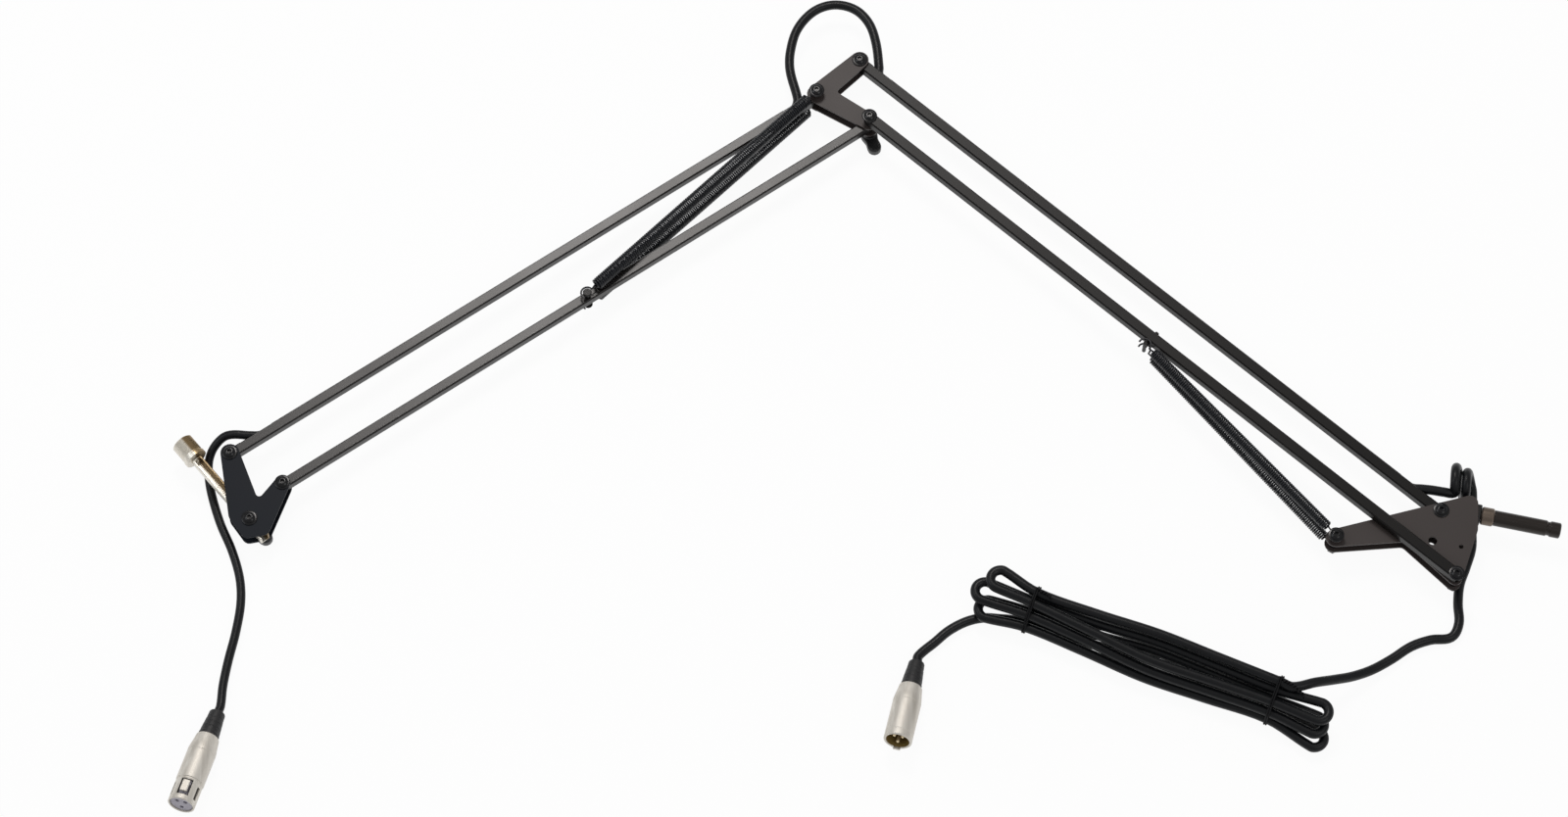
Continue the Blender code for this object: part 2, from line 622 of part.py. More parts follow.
# Elbow: two notched plates with three pivots, a clamping knob and the cable's loop
ELBOW_NOTCH = (-13.5, -25.7, 2.5)
ELBOW_KNOB_TURN = -70.0
elbow_left = from_frame(elbow, ELBOW_LEFT)
elbow_low = from_frame(elbow, ELBOW_LOW)
elbow_outline = belt([(0, 0, EAR), (*elbow_left, EAR + 0.5), (*elbow_low, EAR),
                      (ELBOW_NOTCH[0], ELBOW_NOTCH[1], -ELBOW_NOTCH[2])])
plate_pair("elbow", elbow_outline, [(0, 0, HOLE), (*elbow_left, HOLE), (*elbow_low, HOLE)], elbow)
bolt("elbow_top_bolt", (0, 0), FRONT_PLATE_TOP + GAP, SHORT_TIP, elbow)
nut("elbow_top_nut", (0, 0), NUT_TOP, elbow)
bolt("elbow_left_bolt", elbow_left, SPRING_BOLT_TOP, SPRING_NUT_TOP - NUT_HEIGHT - NUT_PROUD, elbow)
nut("elbow_left_nut", elbow_left, SPRING_NUT_TOP, elbow)
bolt("elbow_bottom_bolt", elbow_low, BIG_BOLT_TOP, BOLT_IN_KNOB, elbow)
wing_knob("elbow_wing_knob", elbow_low, ELBOW_KNOB_TURN, elbow)

# The loop's hand-chosen route over the elbow, from its top pivot, between its exits from the two arms
LOOP_ROUTE = [(-50.4, -5.8), (-50.1, 10.2), (-44.8, 28.7), (-33.0, 43.0), (-18.6, 48.4),
              (-3.6, 44.8), (6.6, 33.8), (11.8, 17.8)]
loop_start = exit_points(ELBOW_LEFT, UPPER_TURN, -1, UPPER_ELBOW_EXIT)
loop_end = exit_points(ELBOW_TOP, LOWER_TURN + 180, 1, OUTER_ELBOW_EXIT)
loop_route = (loop_start + [(ELBOW_TOP[0] + x, ELBOW_TOP[1] + y, MIDDLE) for x, y in LOOP_ROUTE]
              + loop_end[::-1])
wire("elbow_cable_loop", smooth_route(loop_route, BEND_STEP), CABLE_RADIUS, elbow, BLACK_RUBBER)

# Upper arm: the upper bar carries the cable, the lower bar carries the springs' anchor
upper_slots = [(*slot_of(UPPER_ELBOW_EXIT), -1),
               (UPPER_ARM - slot_of(UPPER_HEAD_EXIT)[1], UPPER_ARM - slot_of(UPPER_HEAD_EXIT)[0], -1)]
square_tube("upper_bar", UPPER_ARM, UPPER_BAR, UPPER_WALL, BAR_LOW, upper_bar, BLACK_STEEL,
            [0, UPPER_ARM], upper_slots)
inside_cable("cable_in_upper_bar", UPPER_ELBOW_EXIT[0] + EXIT_STRAIGHT + GAP,
             UPPER_ARM - UPPER_HEAD_EXIT[0] - EXIT_STRAIGHT - GAP, upper_bar)

UPPER_ANCHOR = 243.0              # spring anchor, from the elbow's lower pivot
UPPER_FRONT_RING = BAR_LOW + UPPER_BAR + 4.5
UPPER_REAR_RING = BAR_LOW - 4.5
PIN_END = 3.2
square_tube("lower_bar", UPPER_ARM, UPPER_BAR, UPPER_WALL, BAR_LOW, lower_bar, BLACK_STEEL,
            [0, UPPER_ANCHOR, UPPER_ARM], [])
end_low = UPPER_REAR_RING - SPRING_WIRE / 2 - GAP
end_high = UPPER_FRONT_RING + SPRING_WIRE / 2 + GAP
place(turned("upper_spring_anchor", [
    (0, end_high + 1.2), (PIN_END - 0.4, end_high + 1.2), (PIN_END, end_high + 0.8), (PIN_END, end_high),
    (SHANK, end_high), (SHANK, end_low), (PIN_END, end_low), (PIN_END, end_low - 0.8),
    (PIN_END - 0.4, end_low - 1.2), (0, end_low - 1.2)], lower_bar, BLACK_ZINC, ROUND_SIDES),
    UPPER_ANCHOR, 0)
upper_anchor_plan = step(ELBOW_LOW, UPPER_ANCHOR, UPPER_TURN)
extension_spring("upper_spring_front", (*ELBOW_LEFT, FRONT_SPRING),
                 (*upper_anchor_plan, UPPER_FRONT_RING), SHANK, SHANK, lower_bar_plan)
extension_spring("upper_spring_rear", (*ELBOW_LEFT, REAR_SPRING),
                 (*upper_anchor_plan, UPPER_REAR_RING), SHANK, SHANK, lower_bar_plan)

# Head: two V-shaped plates that hold the microphone bracket
HEAD_TILT = (16.1, -49.5)         # tilt bolt, from the head's top pivot
HEAD_CORNERS = [(5.5, -47.0, 4.0), (15.5, -59.0, 5.0), (25.5, -56.5, 5.5)]
HEAD_NOTCH = (22.0, -30.5, 2.5)
HEAD_KNOB_TURN = -35.0
head_right = from_frame(head, HEAD_RIGHT)
head_outline = belt([(0, 0, EAR), *HEAD_CORNERS, (*head_right, EAR - 1.0),
                     (HEAD_NOTCH[0], HEAD_NOTCH[1], -HEAD_NOTCH[2])])
plate_pair("head", head_outline, [(0, 0, HOLE), (*head_right, HOLE), (*HEAD_TILT, HOLE)], head)
for label, pivot in (("top", (0, 0)), ("right", head_right)):
    bolt(f"head_{label}_bolt", pivot, FRONT_PLATE_TOP + GAP, SHORT_TIP, head)
    nut(f"head_{label}_nut", pivot, NUT_TOP, head)
bolt("head_tilt_bolt", HEAD_TILT, FRONT_PLATE_TOP + GAP, BOLT_IN_KNOB, head)
wing_knob("head_wing_knob", HEAD_TILT, HEAD_KNOB_TURN, head)

# Microphone bracket: a folded nickel-plated channel with a riveted 5/8 inch stud
BRACKET_TURN = 130.4
BRACKET_TAIL = -17.0
BRACKET_LENGTH = 61.0
BRACKET_WIDTH = 7.4
BRACKET_HEIGHT = 7.6
BRACKET_SHEET = 1.3
STUD_RADIUS = 7.8
STUD_LENGTH = 14.0
COLLAR_RADIUS = 8.6
COLLAR = 3.0
RIVET = 1.6
RIVET_END = 1.2                   # of the rivet, inside the channel
tilt_plan = (HEAD_TOP[0] + HEAD_TILT[0], HEAD_TOP[1] + HEAD_TILT[1])
mic_mount = frame("mic_bracket_pivot", tilt_plan, BRACKET_TURN)
bracket_low = MIDDLE - BRACKET_HEIGHT / 2
bracket_bm = bmesh.new()
box_into(bracket_bm, (BRACKET_TAIL, -BRACKET_WIDTH / 2, bracket_low),
         (BRACKET_LENGTH, BRACKET_WIDTH / 2, bracket_low + BRACKET_HEIGHT))
bracket = add_object("mic_bracket", bracket_bm, mic_mount, NICKEL)
soften(bracket, 0.5)
channel_bm = bmesh.new()
box_into(channel_bm, (BRACKET_TAIL - 1, BRACKET_SHEET - BRACKET_WIDTH / 2, bracket_low + BRACKET_SHEET),
         (BRACKET_LENGTH - BRACKET_SHEET, BRACKET_WIDTH / 2 - BRACKET_SHEET,
          bracket_low + BRACKET_HEIGHT + 1))
boolean(bracket, channel_bm)
eyes_bm = bmesh.new()
cylinder_into(eyes_bm, (0, 0), bracket_low - 1, bracket_low + BRACKET_SHEET + 1, HOLE)
lying_cylinder_into(eyes_bm, (BRACKET_LENGTH - BRACKET_SHEET - 0.5, 0, MIDDLE), (1, 0, 0),
                    BRACKET_SHEET + 1, RIVET + CLEARANCE)
boolean(bracket, eyes_bm)
bracket.modifiers[-1].name = "eyes"
stud_start = BRACKET_LENGTH + GAP
aim(turned("mic_stud", [
    (0, COLLAR + STUD_LENGTH), (STUD_RADIUS - 1.0, COLLAR + STUD_LENGTH),
    (STUD_RADIUS, COLLAR + STUD_LENGTH - 1.0), (STUD_RADIUS, COLLAR), (COLLAR_RADIUS, COLLAR),
    (COLLAR_RADIUS, 0), (RIVET, 0), (RIVET, -BRACKET_SHEET - RIVET_END),
    (0, -BRACKET_SHEET - RIVET_END)], mic_mount, NICKEL, steps=24), (stud_start, 0, MIDDLE), (1, 0, 0))

# Connectors: a turned shell with a rubber boot, tilted back on the boot as it lies on the table
SHELL_RADIUS = 9.8
MALE_SHELL = 44.0                 # length
FEMALE_SHELL = 55.0
SHELL_REAR = 7.8
SHELL_TAPER = 12.0                # length of the shell's tapered rear end
SHELL_EDGE = 0.5
BOOT_LENGTH = 20.0
BOOT_FRONT = 7.2
BOOT_REAR = 5.2
NOSE_UP = 12.0
CUP_RADIUS = 8.1
CUP_DEPTH = 15.0
INSERT_RADIUS = CUP_RADIUS - 0.3
MALE_PIN = 1.2
MALE_PIN_CIRCLE = 4.1
CONTACT_ANGLES = (45, 135, 270)   # round the plug's axis, from its right side
PIN_EDGE = 0.4
MALE_PIN_SHORT = 6.0              # of the pins' ends, below the shell's rim
FEMALE_SOCKET = 1.5
SOCKET_BORE = 12.0
INSERT_SUNK = 2.0                 # of the contact block's own foot, below the cup's depth
BOOT_FLOOR = 5.8                  # height of the boot's rear end on its axis, as it lies
BOOT_BEAD = (3.0, 0.7)            # length and step of the boot's front bead
BOOT_FOOT = (4.0, 0.4)            # length and flare of the boot's rear end


def connector_place(rear, turn):
    """Rear end of the boot, the direction of the plug's axis, and its shell's start."""
    lean = math.radians(NOSE_UP)
    heading = Vector((math.cos(math.radians(turn)) * math.cos(lean),
                      math.sin(math.radians(turn)) * math.cos(lean), math.sin(lean)))
    start = Vector((*rear, BOOT_FLOOR))
    return start, heading, start + heading * (BOOT_LENGTH + GAP)


def boot_and_shell(prefix, rear, turn, length, parent):
    """The rubber strain relief and the metal shell of one connector."""
    start, heading, shell_start = connector_place(rear, turn)
    shift = Vector((parent.location.x / MM, parent.location.y / MM, 0))
    bead, bead_step = BOOT_BEAD
    foot, flare = BOOT_FOOT
    boot = turned(f"{prefix}_boot", [
        (0, BOOT_LENGTH), (BOOT_FRONT, BOOT_LENGTH), (BOOT_FRONT, BOOT_LENGTH - bead),
        (BOOT_FRONT - bead_step, BOOT_LENGTH - bead - bead_step), (BOOT_REAR + flare, foot),
        (BOOT_REAR, 0.0), (0, 0)], parent, BLACK_RUBBER, steps=16)
    aim(boot, start - shift, heading)
    shell = turned(f"{prefix}_shell", [
        (0, length - CUP_DEPTH - INSERT_SUNK), (CUP_RADIUS, length - CUP_DEPTH - INSERT_SUNK),
        (CUP_RADIUS, length), (SHELL_RADIUS - SHELL_EDGE, length), (SHELL_RADIUS, length - SHELL_EDGE),
        (SHELL_RADIUS, SHELL_TAPER), (SHELL_REAR, 0.0), (0, 0)], parent, NICKEL, steps=24)
    aim(shell, shell_start - shift, heading)
    return shell, shell_start - shift, heading


def pin_places(circle):
    """Three contacts, 45 degrees either side of the keyway and opposite it."""
    angles = [math.radians(angle) for angle in CONTACT_ANGLES]
    return [(circle * math.cos(angle), circle * math.sin(angle)) for angle in angles]


MALE_REAR = (34.9, -279.6)
MALE_TURN = -103.0
male_shell, male_start, male_heading = boot_and_shell("male", MALE_REAR, MALE_TURN, MALE_SHELL, base)
insert_low = MALE_SHELL - CUP_DEPTH - INSERT_SUNK + GAP
male_insert_bm = bmesh.new()
cylinder_into(male_insert_bm, (0, 0), insert_low, MALE_SHELL - CUP_DEPTH, INSERT_RADIUS, 24)
male_insert = add_object("male_insert", male_insert_bm, base, BRASS_BROWN)
aim(male_insert, male_start, male_heading)
contacts = pin_places(MALE_PIN_CIRCLE)
drill(male_insert, [(x, y, MALE_PIN + CLEARANCE) for x, y in contacts], insert_low,
      MALE_SHELL - CUP_DEPTH)
for number, (x, y) in enumerate(contacts):
    pin_bm = bmesh.new()
    cylinder_into(pin_bm, (x, y), insert_low, MALE_SHELL - MALE_PIN_SHORT, MALE_PIN)
    contact = add_object(f"male_pin_{number + 1}", pin_bm, base, GOLD)
    aim(contact, male_start, male_heading)
    soften(contact, PIN_EDGE)

FEMALE_REAR = (-441.9, -316.0)
FEMALE_TURN = -105.0
LATCH = (5.0, 9.0, 2.2)           # width, length and thickness of the release button
LATCH_AT = FEMALE_SHELL - 14.6    # from the shell's rear end
LATCH_SEAT = 6.4                  # flat of the insert under the button, from the plug's axis
LATCH_EDGE = 0.4
POCKET_FLOOR = CUP_RADIUS - 2.0
female_shell, female_start, female_heading = boot_and_shell("female", FEMALE_REAR, FEMALE_TURN,
                                                            FEMALE_SHELL, head)
female_insert_bm = bmesh.new()
cylinder_into(female_insert_bm, (0, 0), FEMALE_SHELL - CUP_DEPTH - INSERT_SUNK + GAP, FEMALE_SHELL - 1.0,
              INSERT_RADIUS, 24)
female_insert = add_object("female_insert", female_insert_bm, head, GREY_PLASTIC)
aim(female_insert, female_start, female_heading)
sockets = bmesh.new()
for x, y in pin_places(MALE_PIN_CIRCLE):
    cylinder_into(sockets, (x, y), FEMALE_SHELL - SOCKET_BORE, FEMALE_SHELL + 1, FEMALE_SOCKET)
pocket_end = LATCH_AT + LATCH[1]
box_into(sockets, (-LATCH[0] / 2 - CLEARANCE, LATCH_SEAT, LATCH_AT - CLEARANCE),
         (LATCH[0] / 2 + CLEARANCE, SHELL_RADIUS, pocket_end + CLEARANCE))
boolean(female_insert, sockets)

pocket = bmesh.new()
box_into(pocket, (-LATCH[0] / 2 - CLEARANCE, POCKET_FLOOR, LATCH_AT - CLEARANCE),
         (LATCH[0] / 2 + CLEARANCE, SHELL_RADIUS + 2, pocket_end + CLEARANCE))


def along_plug(obj, start, heading):
    """Lay a piece on a plug's axis with its +Y side facing up from the table."""
    forward = Vector(heading).normalized()
    upward = (Vector((0, 0, 1)) - forward * forward.z).normalized()
    sideways = upward.cross(forward)
    turn = Matrix((sideways, upward, forward)).transposed()
    obj.location = Vector(start) * MM
    obj.rotation_euler = turn.to_euler()
    return obj


male_pins = [bpy.data.objects[f"male_pin_{number}"] for number in (1, 2, 3)]
for piece in (male_insert, *male_pins):
    along_plug(piece, male_start, male_heading)
for piece in (female_insert, female_shell):
    along_plug(piece, female_start, female_heading)
for piece in (male_insert, female_insert):
    tool = piece.modifiers[-1].object
    tool.location = piece.location
    tool.rotation_euler = piece.rotation_euler
boolean(female_shell, pocket)
latch_bm = bmesh.new()
box_into(latch_bm, (-LATCH[0] / 2, CUP_RADIUS + CLEARANCE, LATCH_AT),
         (LATCH[0] / 2, CUP_RADIUS + CLEARANCE + LATCH[2], pocket_end))
latch = add_object("female_latch", latch_bm, head, NICKEL)
along_plug(latch, female_start, female_heading)
soften(latch, LATCH_EDGE)

# Free cable: the lead to the microphone, the slack at the base and the lead to the mixer
MIC_LEAD_ROUTE = [(-444.0, -114.0, 16.8), (-452.3, -119.5, 13.4), (-457.0, -128.5, 9.2),
                  (-457.3, -139.6, 5.6), (-454.7, -153.5, 3.8), (-447.5, -175.3, FLOOR_CABLE),
                  (-438.6, -195.2, FLOOR_CABLE), (-432.2, -215.6, FLOOR_CABLE),
                  (-430.5, -233.8, FLOOR_CABLE), (-432.8, -255.5, FLOOR_CABLE),
                  (-437.0, -277.1, FLOOR_CABLE), (-439.6, -295.0, FLOOR_CABLE + 0.2)]
SLACK_START = [(393.5, -156.0, MIDDLE), (401.5, -157.4, MIDDLE)]
SLACK_END = [(423.0, -163.0, FLOOR_CABLE + 0.1), (421.6, -178.0, FLOOR_CABLE + 0.1)]
COIL = ((409.3, -147.8, 11.0), (422.4, -151.0, 8.8))   # first and last turn: x, y and radius
COIL_LEAN = 0.15                  # of its turns to the left, for each millimetre upwards
COIL_SWEEP = (20.0, 630.0)        # degrees from its near side, up and over
COIL_STEPS = 24
COIL_SPACING = 5.5                # between points of its tube
BASE_ROUTE = [(421.6, -178.3, FLOOR_CABLE + 0.1), (420.5, -193.5, FLOOR_CABLE),
              (415.6, -208.0, FLOOR_CABLE), (410.6, -221.0, FLOOR_CABLE), (408.6, -235.0, FLOOR_CABLE),
              (408.3, -249.5, FLOOR_CABLE), (402.5, -259.6, FLOOR_CABLE),
              (388.3, -261.5, FLOOR_CABLE), (374.5, -266.4, FLOOR_CABLE),
              (360.5, -275.8, FLOOR_CABLE + 0.4), (346.4, -284.3, FLOOR_CABLE + 2.4),
              (332.3, -291.0, FLOOR_CABLE + 7.6), (318.3, -296.2, FLOOR_CABLE + 15.0),
              (304.8, -300.6, FLOOR_CABLE + 21.6)]

lead_start = exit_points(HEAD_TOP, UPPER_TURN + 180, 1, UPPER_HEAD_EXIT)


def tail_of(rear, turn, back):
    """A point on a plug's axis behind its boot."""
    start, heading, _ = connector_place(rear, turn)
    return start - heading * back


mic_route = lead_start + MIC_LEAD_ROUTE + [tail_of(FEMALE_REAR, FEMALE_TURN, back) for back in (CABLE, GAP)]
wire("mic_lead", smooth_route(mic_route), CABLE_RADIUS, head, BLACK_RUBBER)
slack_start = exit_points(BASE_PIVOT, LOWER_TURN, -1, OUTER_BASE_EXIT)
coil = []
for number in range(COIL_STEPS + 1):
    share = number / COIL_STEPS
    sweep = math.radians(COIL_SWEEP[0] + (COIL_SWEEP[1] - COIL_SWEEP[0]) * share)
    x, y, radius = (first + (last - first) * share for first, last in zip(*COIL))
    coil.append((x - COIL_LEAN * radius * math.sin(sweep), y - radius * math.cos(sweep),
                 FLOOR_CABLE + radius * (1 + math.sin(sweep))))
slack_route = smooth_route(slack_start + SLACK_START + coil + SLACK_END, COIL_SPACING)
print(f"base_slack_loop: least gap between turns {least_self_gap(slack_route, CABLE, 5):.2f} mm")
wire("base_slack_loop", slack_route, CABLE_RADIUS, base, BLACK_RUBBER)

# Hank: the long lead folded on itself, each loop lying on the next, bound by two ties
HANK_CENTRE = (195.0, -278.0)
HANK_TURN = -22.0
HANK_HALF = 129.0                 # half length of the longest loop's centre line
LOOP_RADIUS = 6.8                 # of the bend at a loop's end
LOOP_STEPS = 6                    # of a bend
HANK_FALL = 7.0                   # from one loop down to the next
HANK_BENDS = ((0.0, 11.0), (7.4, 10.4), (3.0, 2.5), (0.0, 1.0), (3.0, -4.8), (6.0, -8.0), (0.0, -11.5),
              (0.0, -16.8))       # of each bend, right and left by turns: set back, place across
HANK_MIDDLES = (14.5, -5.8, 9.4, -10.8, 5.5, -14.5, 0.2)   # where each strand crosses the middle
TIE_PLACES = (-88.0, 88.0)        # of the ties along the hank
TIED = 0.8                        # share of a loop's place across that the ties leave
TIED_HALF = 12.4                  # half width between the outermost strands in the ties
TIE = 0.9
HANK_LOW = CABLE_RADIUS + TIE + 0.6   # centre of the lowest strand
LOOP_LENGTH = 4 * (HANK_HALF - LOOP_RADIUS) + 2 * math.pi * LOOP_RADIUS


def hank_points():
    """Centre line of the folded lead, from its top strand at the right tie down to its way out."""
    plan = []
    for number, middle in enumerate(HANK_MIDDLES):
        side = 1 if number % 2 == 0 else -1
        (set_back, start), (end_back, end) = HANK_BENDS[number:number + 2]
        near, far = (min(max(TIED * (across + side * LOOP_RADIUS), -TIED_HALF), TIED_HALF)
                     for across in (start, end))
        tie, run = TIE_PLACES[1] * side, (HANK_HALF - LOOP_RADIUS - end_back) * side
        plan += [((HANK_HALF - LOOP_RADIUS - set_back) * side, start + side * LOOP_RADIUS), (tie, near),
                 (tie / 2, (near + middle) / 2), (0, middle), (-tie / 2, (far + middle) / 2), (-tie, far)]
        for number in range(LOOP_STEPS):
            angle = math.radians(90 + 180 * number / LOOP_STEPS)
            plan.append((-run + side * LOOP_RADIUS * math.cos(angle), end + side * LOOP_RADIUS * math.sin(angle)))
    turn = Matrix.Rotation(math.radians(HANK_TURN), 3, "Z")
    points = [Vector((*plan[-LOOP_STEPS - 1], 0))]
    for along, across in plan[-LOOP_STEPS - 2:0:-1]:
        rise = HANK_FALL / LOOP_LENGTH * math.dist((along, across), points[0].xy)
        points.insert(0, Vector((along, across, points[0].z + rise)))
    return [turn @ point + Vector((*HANK_CENTRE, HANK_LOW)) for point in points]


hank = hank_points()
print(f"cable_hank: least gap between strands {least_self_gap(hank, CABLE, LOOP_STEPS):.2f} mm")
hank_length = sum((b - a).length for a, b in zip(hank, hank[1:]))
print(f"cable_hank: {hank_length:.0f} mm of cable")
wire("cable_hank", hank, CABLE_RADIUS, base, BLACK_RUBBER, resolution=1)


def leading(first, second, reach):
    """The point in front of a wound end, in line with its last segment."""
    return first + (first - second).normalized() * reach


into_hank = [leading(hank[0], hank[1], reach) for reach in (CABLE * 1.5, GAP)]
base_route = BASE_ROUTE + into_hank
wire("base_cable", smooth_route(base_route), CABLE_RADIUS, base, BLACK_RUBBER)
out_of_hank = [leading(hank[-1], hank[-2], reach) for reach in (GAP, CABLE * 1.5)]
MALE_ROUTE = [(92.0, -246.2, FLOOR_CABLE + 0.8), (80.3, -245.4, FLOOR_CABLE + 0.2),
              (68.8, -248.3, FLOOR_CABLE), (57.2, -254.8, FLOOR_CABLE), (47.5, -263.3, FLOOR_CABLE)]
male_route = out_of_hank + MALE_ROUTE + [tail_of(MALE_REAR, MALE_TURN, back) for back in (CABLE, GAP)]
wire("male_cable_run", smooth_route(male_route, BEND_STEP), CABLE_RADIUS, base, BLACK_RUBBER)

# Ties: a band round the hank near each end
TIE_WIDTH = 3.0
TIE_CORNER = 4.0
TIE_AIR = 0.4
for label, along in zip(("left", "right"), TIE_PLACES):
    half_width = TIED_HALF + CABLE_RADIUS + TIE_AIR
    low = TIE + 0.05
    high = max(point.z for point in hank) + CABLE_RADIUS + TIE_AIR
    tie_frame = frame(f"tie_{label}_frame", step(HANK_CENTRE, along, HANK_TURN), HANK_TURN)
    bands = []
    for radius in (TIE_CORNER + TIE, TIE_CORNER):
        inset = TIE_CORNER
        corners = [(half_width - inset, low + inset), (half_width - inset, high - inset),
                   (inset - half_width, high - inset), (inset - half_width, low + inset)]
        bands.append(belt([(*corner, radius) for corner in corners], arc_step=30.0))
    tie = extruded(f"tie_{label}", bands[0], -TIE_WIDTH / 2, TIE_WIDTH / 2, tie_frame, BLACK_PLASTIC)
    tie.rotation_euler = (math.radians(90), 0, math.radians(90))
    opening_bm = bmesh.new()
    rim = [opening_bm.verts.new((x, y, -TIE_WIDTH)) for x, y in bands[1]]
    raised = bmesh.ops.extrude_face_region(opening_bm, geom=[opening_bm.faces.new(rim)])["geom"]
    bmesh.ops.translate(opening_bm, vec=(0, 0, TIE_WIDTH * 2),
                        verts=[part for part in raised if isinstance(part, bmesh.types.BMVert)])
    bmesh.ops.recalc_face_normals(opening_bm, faces=opening_bm.faces)
    boolean(tie, opening_bm)
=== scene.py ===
"""Looks of a spring-balanced boom arm for a desk microphone, laid flat beside its tied cable.

The sections follow the arm as it is put together, from the table and the cable to the plugs.
"""
import json
import math

import bmesh
import bpy
from mathutils import Matrix, Vector
from mathutils.geometry import interpolate_bezier

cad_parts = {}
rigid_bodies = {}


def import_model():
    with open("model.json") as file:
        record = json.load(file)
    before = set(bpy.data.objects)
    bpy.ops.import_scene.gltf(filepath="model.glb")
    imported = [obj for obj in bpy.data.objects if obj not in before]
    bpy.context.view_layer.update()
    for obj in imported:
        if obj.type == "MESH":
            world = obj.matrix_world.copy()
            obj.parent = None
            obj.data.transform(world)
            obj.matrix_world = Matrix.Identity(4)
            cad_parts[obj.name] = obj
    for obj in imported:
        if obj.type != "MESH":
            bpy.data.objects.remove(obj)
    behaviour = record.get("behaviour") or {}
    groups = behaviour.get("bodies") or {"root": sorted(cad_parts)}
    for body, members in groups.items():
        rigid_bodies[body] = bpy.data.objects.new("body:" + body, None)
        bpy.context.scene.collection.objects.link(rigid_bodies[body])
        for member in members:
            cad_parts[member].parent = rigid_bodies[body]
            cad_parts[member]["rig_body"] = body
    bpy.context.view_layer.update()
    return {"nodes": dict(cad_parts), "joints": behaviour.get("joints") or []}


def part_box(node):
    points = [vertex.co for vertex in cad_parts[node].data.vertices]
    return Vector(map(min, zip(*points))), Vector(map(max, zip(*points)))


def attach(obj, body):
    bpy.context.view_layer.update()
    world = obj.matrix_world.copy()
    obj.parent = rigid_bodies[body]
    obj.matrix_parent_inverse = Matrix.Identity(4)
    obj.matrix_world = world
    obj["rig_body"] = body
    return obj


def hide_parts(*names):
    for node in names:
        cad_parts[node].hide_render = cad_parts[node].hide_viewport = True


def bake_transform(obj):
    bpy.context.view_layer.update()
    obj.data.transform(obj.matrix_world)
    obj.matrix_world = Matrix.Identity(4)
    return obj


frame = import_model()


def linked(name, data):
    """A new object of some data, in the scene."""
    thing = bpy.data.objects.new(name, data)
    bpy.context.scene.collection.objects.link(thing)
    return thing


def as_mesh(thing):
    """A mesh of a curve, or of a piece as its modifiers leave it."""
    bpy.context.view_layer.update()
    return bpy.data.meshes.new_from_object(thing.evaluated_get(bpy.context.evaluated_depsgraph_get()))


# Camera: a long lens that looks down on the table from the near side, a little off upright,
# as for a catalogue picture of a flat lay.
DISTANCE = 3.1034
ELEVATION = math.radians(66)
aim = Vector((-0.056, -0.086, 0.0))
camera_data = bpy.data.cameras.new("camera")
camera_data.lens = 101.25
camera_data.sensor_width = 36.0
camera = linked("camera", camera_data)
camera.location = aim + DISTANCE * Vector((0, -math.cos(ELEVATION), math.sin(ELEVATION)))
camera.rotation_euler = (math.pi / 2 - ELEVATION, 0, 0)
bpy.context.scene.camera = camera


class Wire:
    """A shader socket that takes part in Python arithmetic."""

    def __init__(self, finish, socket):
        self.finish = finish
        self.socket = socket

    def maths(self, operation, other):
        return self.finish.node("Math", {"operation": operation}, {0: self, 1: other})

    def __add__(self, other):
        return self.maths("ADD", other)

    def __mul__(self, other):
        return self.maths("MULTIPLY", other)


# Numbers of the Mix node's colour sockets, which share their names with its other sockets.
MIX_FACTOR, MIX_DARK, MIX_LIGHT, MIX_RESULT = 0, 6, 7, 2


class Finish:
    """A painted, plated or moulded surface: one Principled shader and the nodes that vary it."""

    def __init__(self, name, colour, roughness, metallic=0.0):
        self.material = bpy.data.materials.new(name)
        self.material.use_nodes = True
        self.tree = self.material.node_tree
        self.shader = self.tree.nodes["Principled BSDF"]
        self.plug("Base Color", (*colour, 1))
        self.plug("Roughness", roughness)
        self.plug("Metallic", metallic)

    def node(self, kind, settings=None, values=None, output=0):
        """Add one node: its settings first, then the values or links of its sockets."""
        made = self.tree.nodes.new("ShaderNode" + kind)
        for key, value in (settings or {}).items():
            setattr(made, key, value)
        for key, value in (values or {}).items():
            self.connect(made.inputs[key], value)
        return Wire(self, made.outputs[output])

    def connect(self, socket, value):
        if isinstance(value, Wire):
            self.tree.links.new(value.socket, socket)
        else:
            socket.default_value = value

    def plug(self, socket, value):
        """Give one of the shader's own sockets a value or a link."""
        self.connect(self.shader.inputs[socket], value)

    def place(self, stretch=(1, 1, 1), turn=(0, 0, 0)):
        """Where on the piece a pattern is read, in metres, stretched or turned."""
        seen = self.node("TexCoord", output="Object")
        return self.node("Mapping", {}, {"Vector": seen, "Scale": stretch, "Rotation": turn})

    def noise(self, scale, detail=3.0, stretch=(1, 1, 1), turn=(0, 0, 0)):
        where = self.place(stretch, turn)
        return self.node("TexNoise", {}, {"Vector": where, "Scale": scale, "Detail": detail})

    def between(self, mask, low, high):
        """A value that runs from low to high with a mask."""
        return self.node("MapRange", {}, {"Value": mask, "To Min": low, "To Max": high})

    def tint(self, mask, dark, light):
        """A colour between two, chosen by a mask."""
        return self.node("Mix", {"data_type": "RGBA"},
                         {MIX_FACTOR: mask, MIX_DARK: (*dark, 1), MIX_LIGHT: (*light, 1)}, MIX_RESULT)

    def relief(self, height, depth, strength=1.0):
        """Bump of a real depth in metres."""
        bump = self.node("Bump", {}, {"Height": height, "Distance": depth, "Strength": strength})
        self.plug("Normal", bump)


def mottled(name, colour, roughness, grain, low, high, metallic=0.0):
    """A finish whose gloss varies from place to place, between two roughnesses."""
    finish = Finish(name, colour, roughness, metallic)
    finish.plug("Roughness", finish.between(finish.noise(grain), low, high))
    return finish


